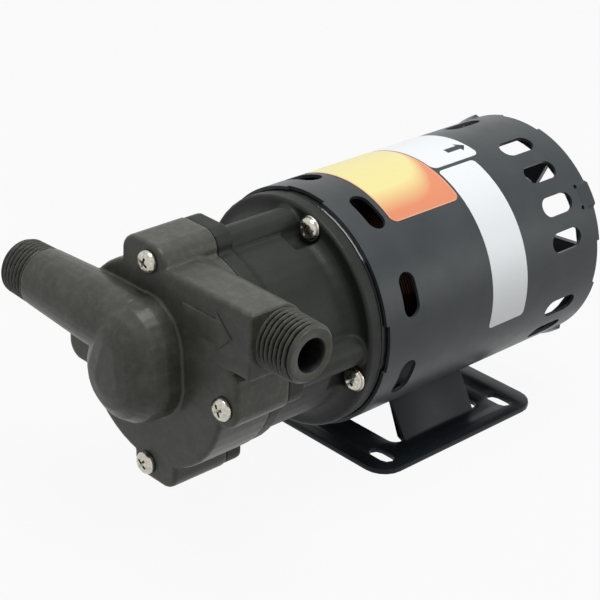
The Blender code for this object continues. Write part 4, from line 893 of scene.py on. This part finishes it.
NODE_MATERIALS = {
    "casing_o_ring": RUBBER,
    "rear_housing": CASING,
    "pump_spindle": CERAMIC,
    "front_thrust_washer": CERAMIC,
    "rear_thrust_washer": CERAMIC,
    "impeller": PALE,
    "impeller_bush": CARBON,
    "inner_magnet": FERRITE,
    "drive_magnet_cup": DARK,
    "drive_magnet_ring": FERRITE,
    "hub_set_screw": DARK,
    "motor_shaft": GROUND,
    "rotor_core": LAMINATED,
    "stator_core": LAMINATED,
    "stator_winding": COPPER,
    "front_bearing": BRONZE,
    "rear_bearing": BRONZE,
}


def dress_nodes():
    for name, material in NODE_MATERIALS.items():
        data = frame["nodes"][name].data
        data.materials.clear()
        data.materials.append(material)


# Floor and light

FLOOR_SHOWN_WHITE = 0.93  # share of the floor that the eye sees as plain white
WORLD_LOW = 0.08  # light from the level of the floor
WORLD_HIGH = 0.6  # light from straight above


def background_rays(tree):
    """1 for the rays that show the background: the eye's, and those off metal and glass."""
    path = add(tree, "LightPath")
    seen = add(tree, "Math", {0: path.outputs["Is Camera Ray"], 1: path.outputs["Is Glossy Ray"]})
    inputs = {0: seen.outputs[0], 1: path.outputs["Is Transmission Ray"]}
    return add(tree, "Math", inputs, use_clamp=True).outputs[0]


def floor():
    """A pale floor that keeps a faint shadow, though the eye and reflections see it white."""
    made, tree, shader = surface("pale_floor")
    shader.inputs["Base Color"].default_value = linear("#a6a6a4")
    shader.inputs["Roughness"].default_value = 0.9
    seen = background_rays(tree)
    share = add(tree, "Math", {0: seen, 1: FLOOR_SHOWN_WHITE}, operation="MULTIPLY")
    glow = add(tree, "Emission", {"Color": (1, 1, 1, 1), "Strength": 1.0})
    inputs = {0: share.outputs[0], 1: shader.outputs[0], 2: glow.outputs[0]}
    mix = add(tree, "MixShader", inputs)
    tree.links.new(mix.outputs[0], tree.nodes["Material Output"].inputs[0])
    mesh = bpy.data.meshes.new("floor")
    half = 4.0
    corners = [(-half, -half, 0), (half, -half, 0), (half, half, 0), (-half, half, 0)]
    mesh.from_pydata(corners, [], [(0, 1, 2, 3)])
    mesh.materials.append(made)
    obj = bpy.data.objects.new("floor", mesh)
    obj.location.z = -0.02 * MM
    bpy.context.scene.collection.objects.link(obj)


def world():
    """An even white studio, a little brighter overhead."""
    made = bpy.data.worlds.new("studio")
    made.use_nodes = True
    tree = made.node_tree
    tree.nodes.clear()
    direction = add(tree, "SeparateXYZ", {0: add(tree, "TexCoord").outputs["Generated"]})
    level = spread(tree, direction.outputs[2], 0.0, 1.0, WORLD_LOW, WORLD_HIGH)
    seen = background_rays(tree)
    light = add(tree, "Background", {"Color": (0.98, 0.99, 1.0, 1), "Strength": level})
    plain_white = add(tree, "Background", {"Color": (1, 1, 1, 1), "Strength": 1.0})
    mix = add(tree, "MixShader", {0: seen, 1: light.outputs[0], 2: plain_white.outputs[0]})
    output = add(tree, "OutputWorld")
    tree.links.new(mix.outputs[0], output.inputs[0])
    bpy.context.scene.world = made


def softbox(name, place, target, size, power):
    """A soft rectangular lamp that faces a target; sizes in metres, power in watts."""
    data = bpy.data.lights.new(name, "AREA")
    data.shape = "RECTANGLE"
    data.size, data.size_y = size
    data.energy = power
    lamp = bpy.data.objects.new(name, data)
    place, target = Vector(place), Vector(target)
    lamp.matrix_world = along(place, place - target)
    bpy.context.scene.collection.objects.link(lamp)


def lights():
    middle = (0, 0, AXIS_HEIGHT)
    softbox("overhead", (0.15, 0.05, 1.15), middle, (0.5, 0.5), 7.6)
    softbox("rear_right", (0.78, 0.6, 0.26), middle, (0.5, 0.4), 1.3)


place_camera()
pump_head()
screws()
motor()
labels()
dress_nodes()
floor()
world()
lights()
bpy.context.scene.view_settings.view_transform = "Standard"
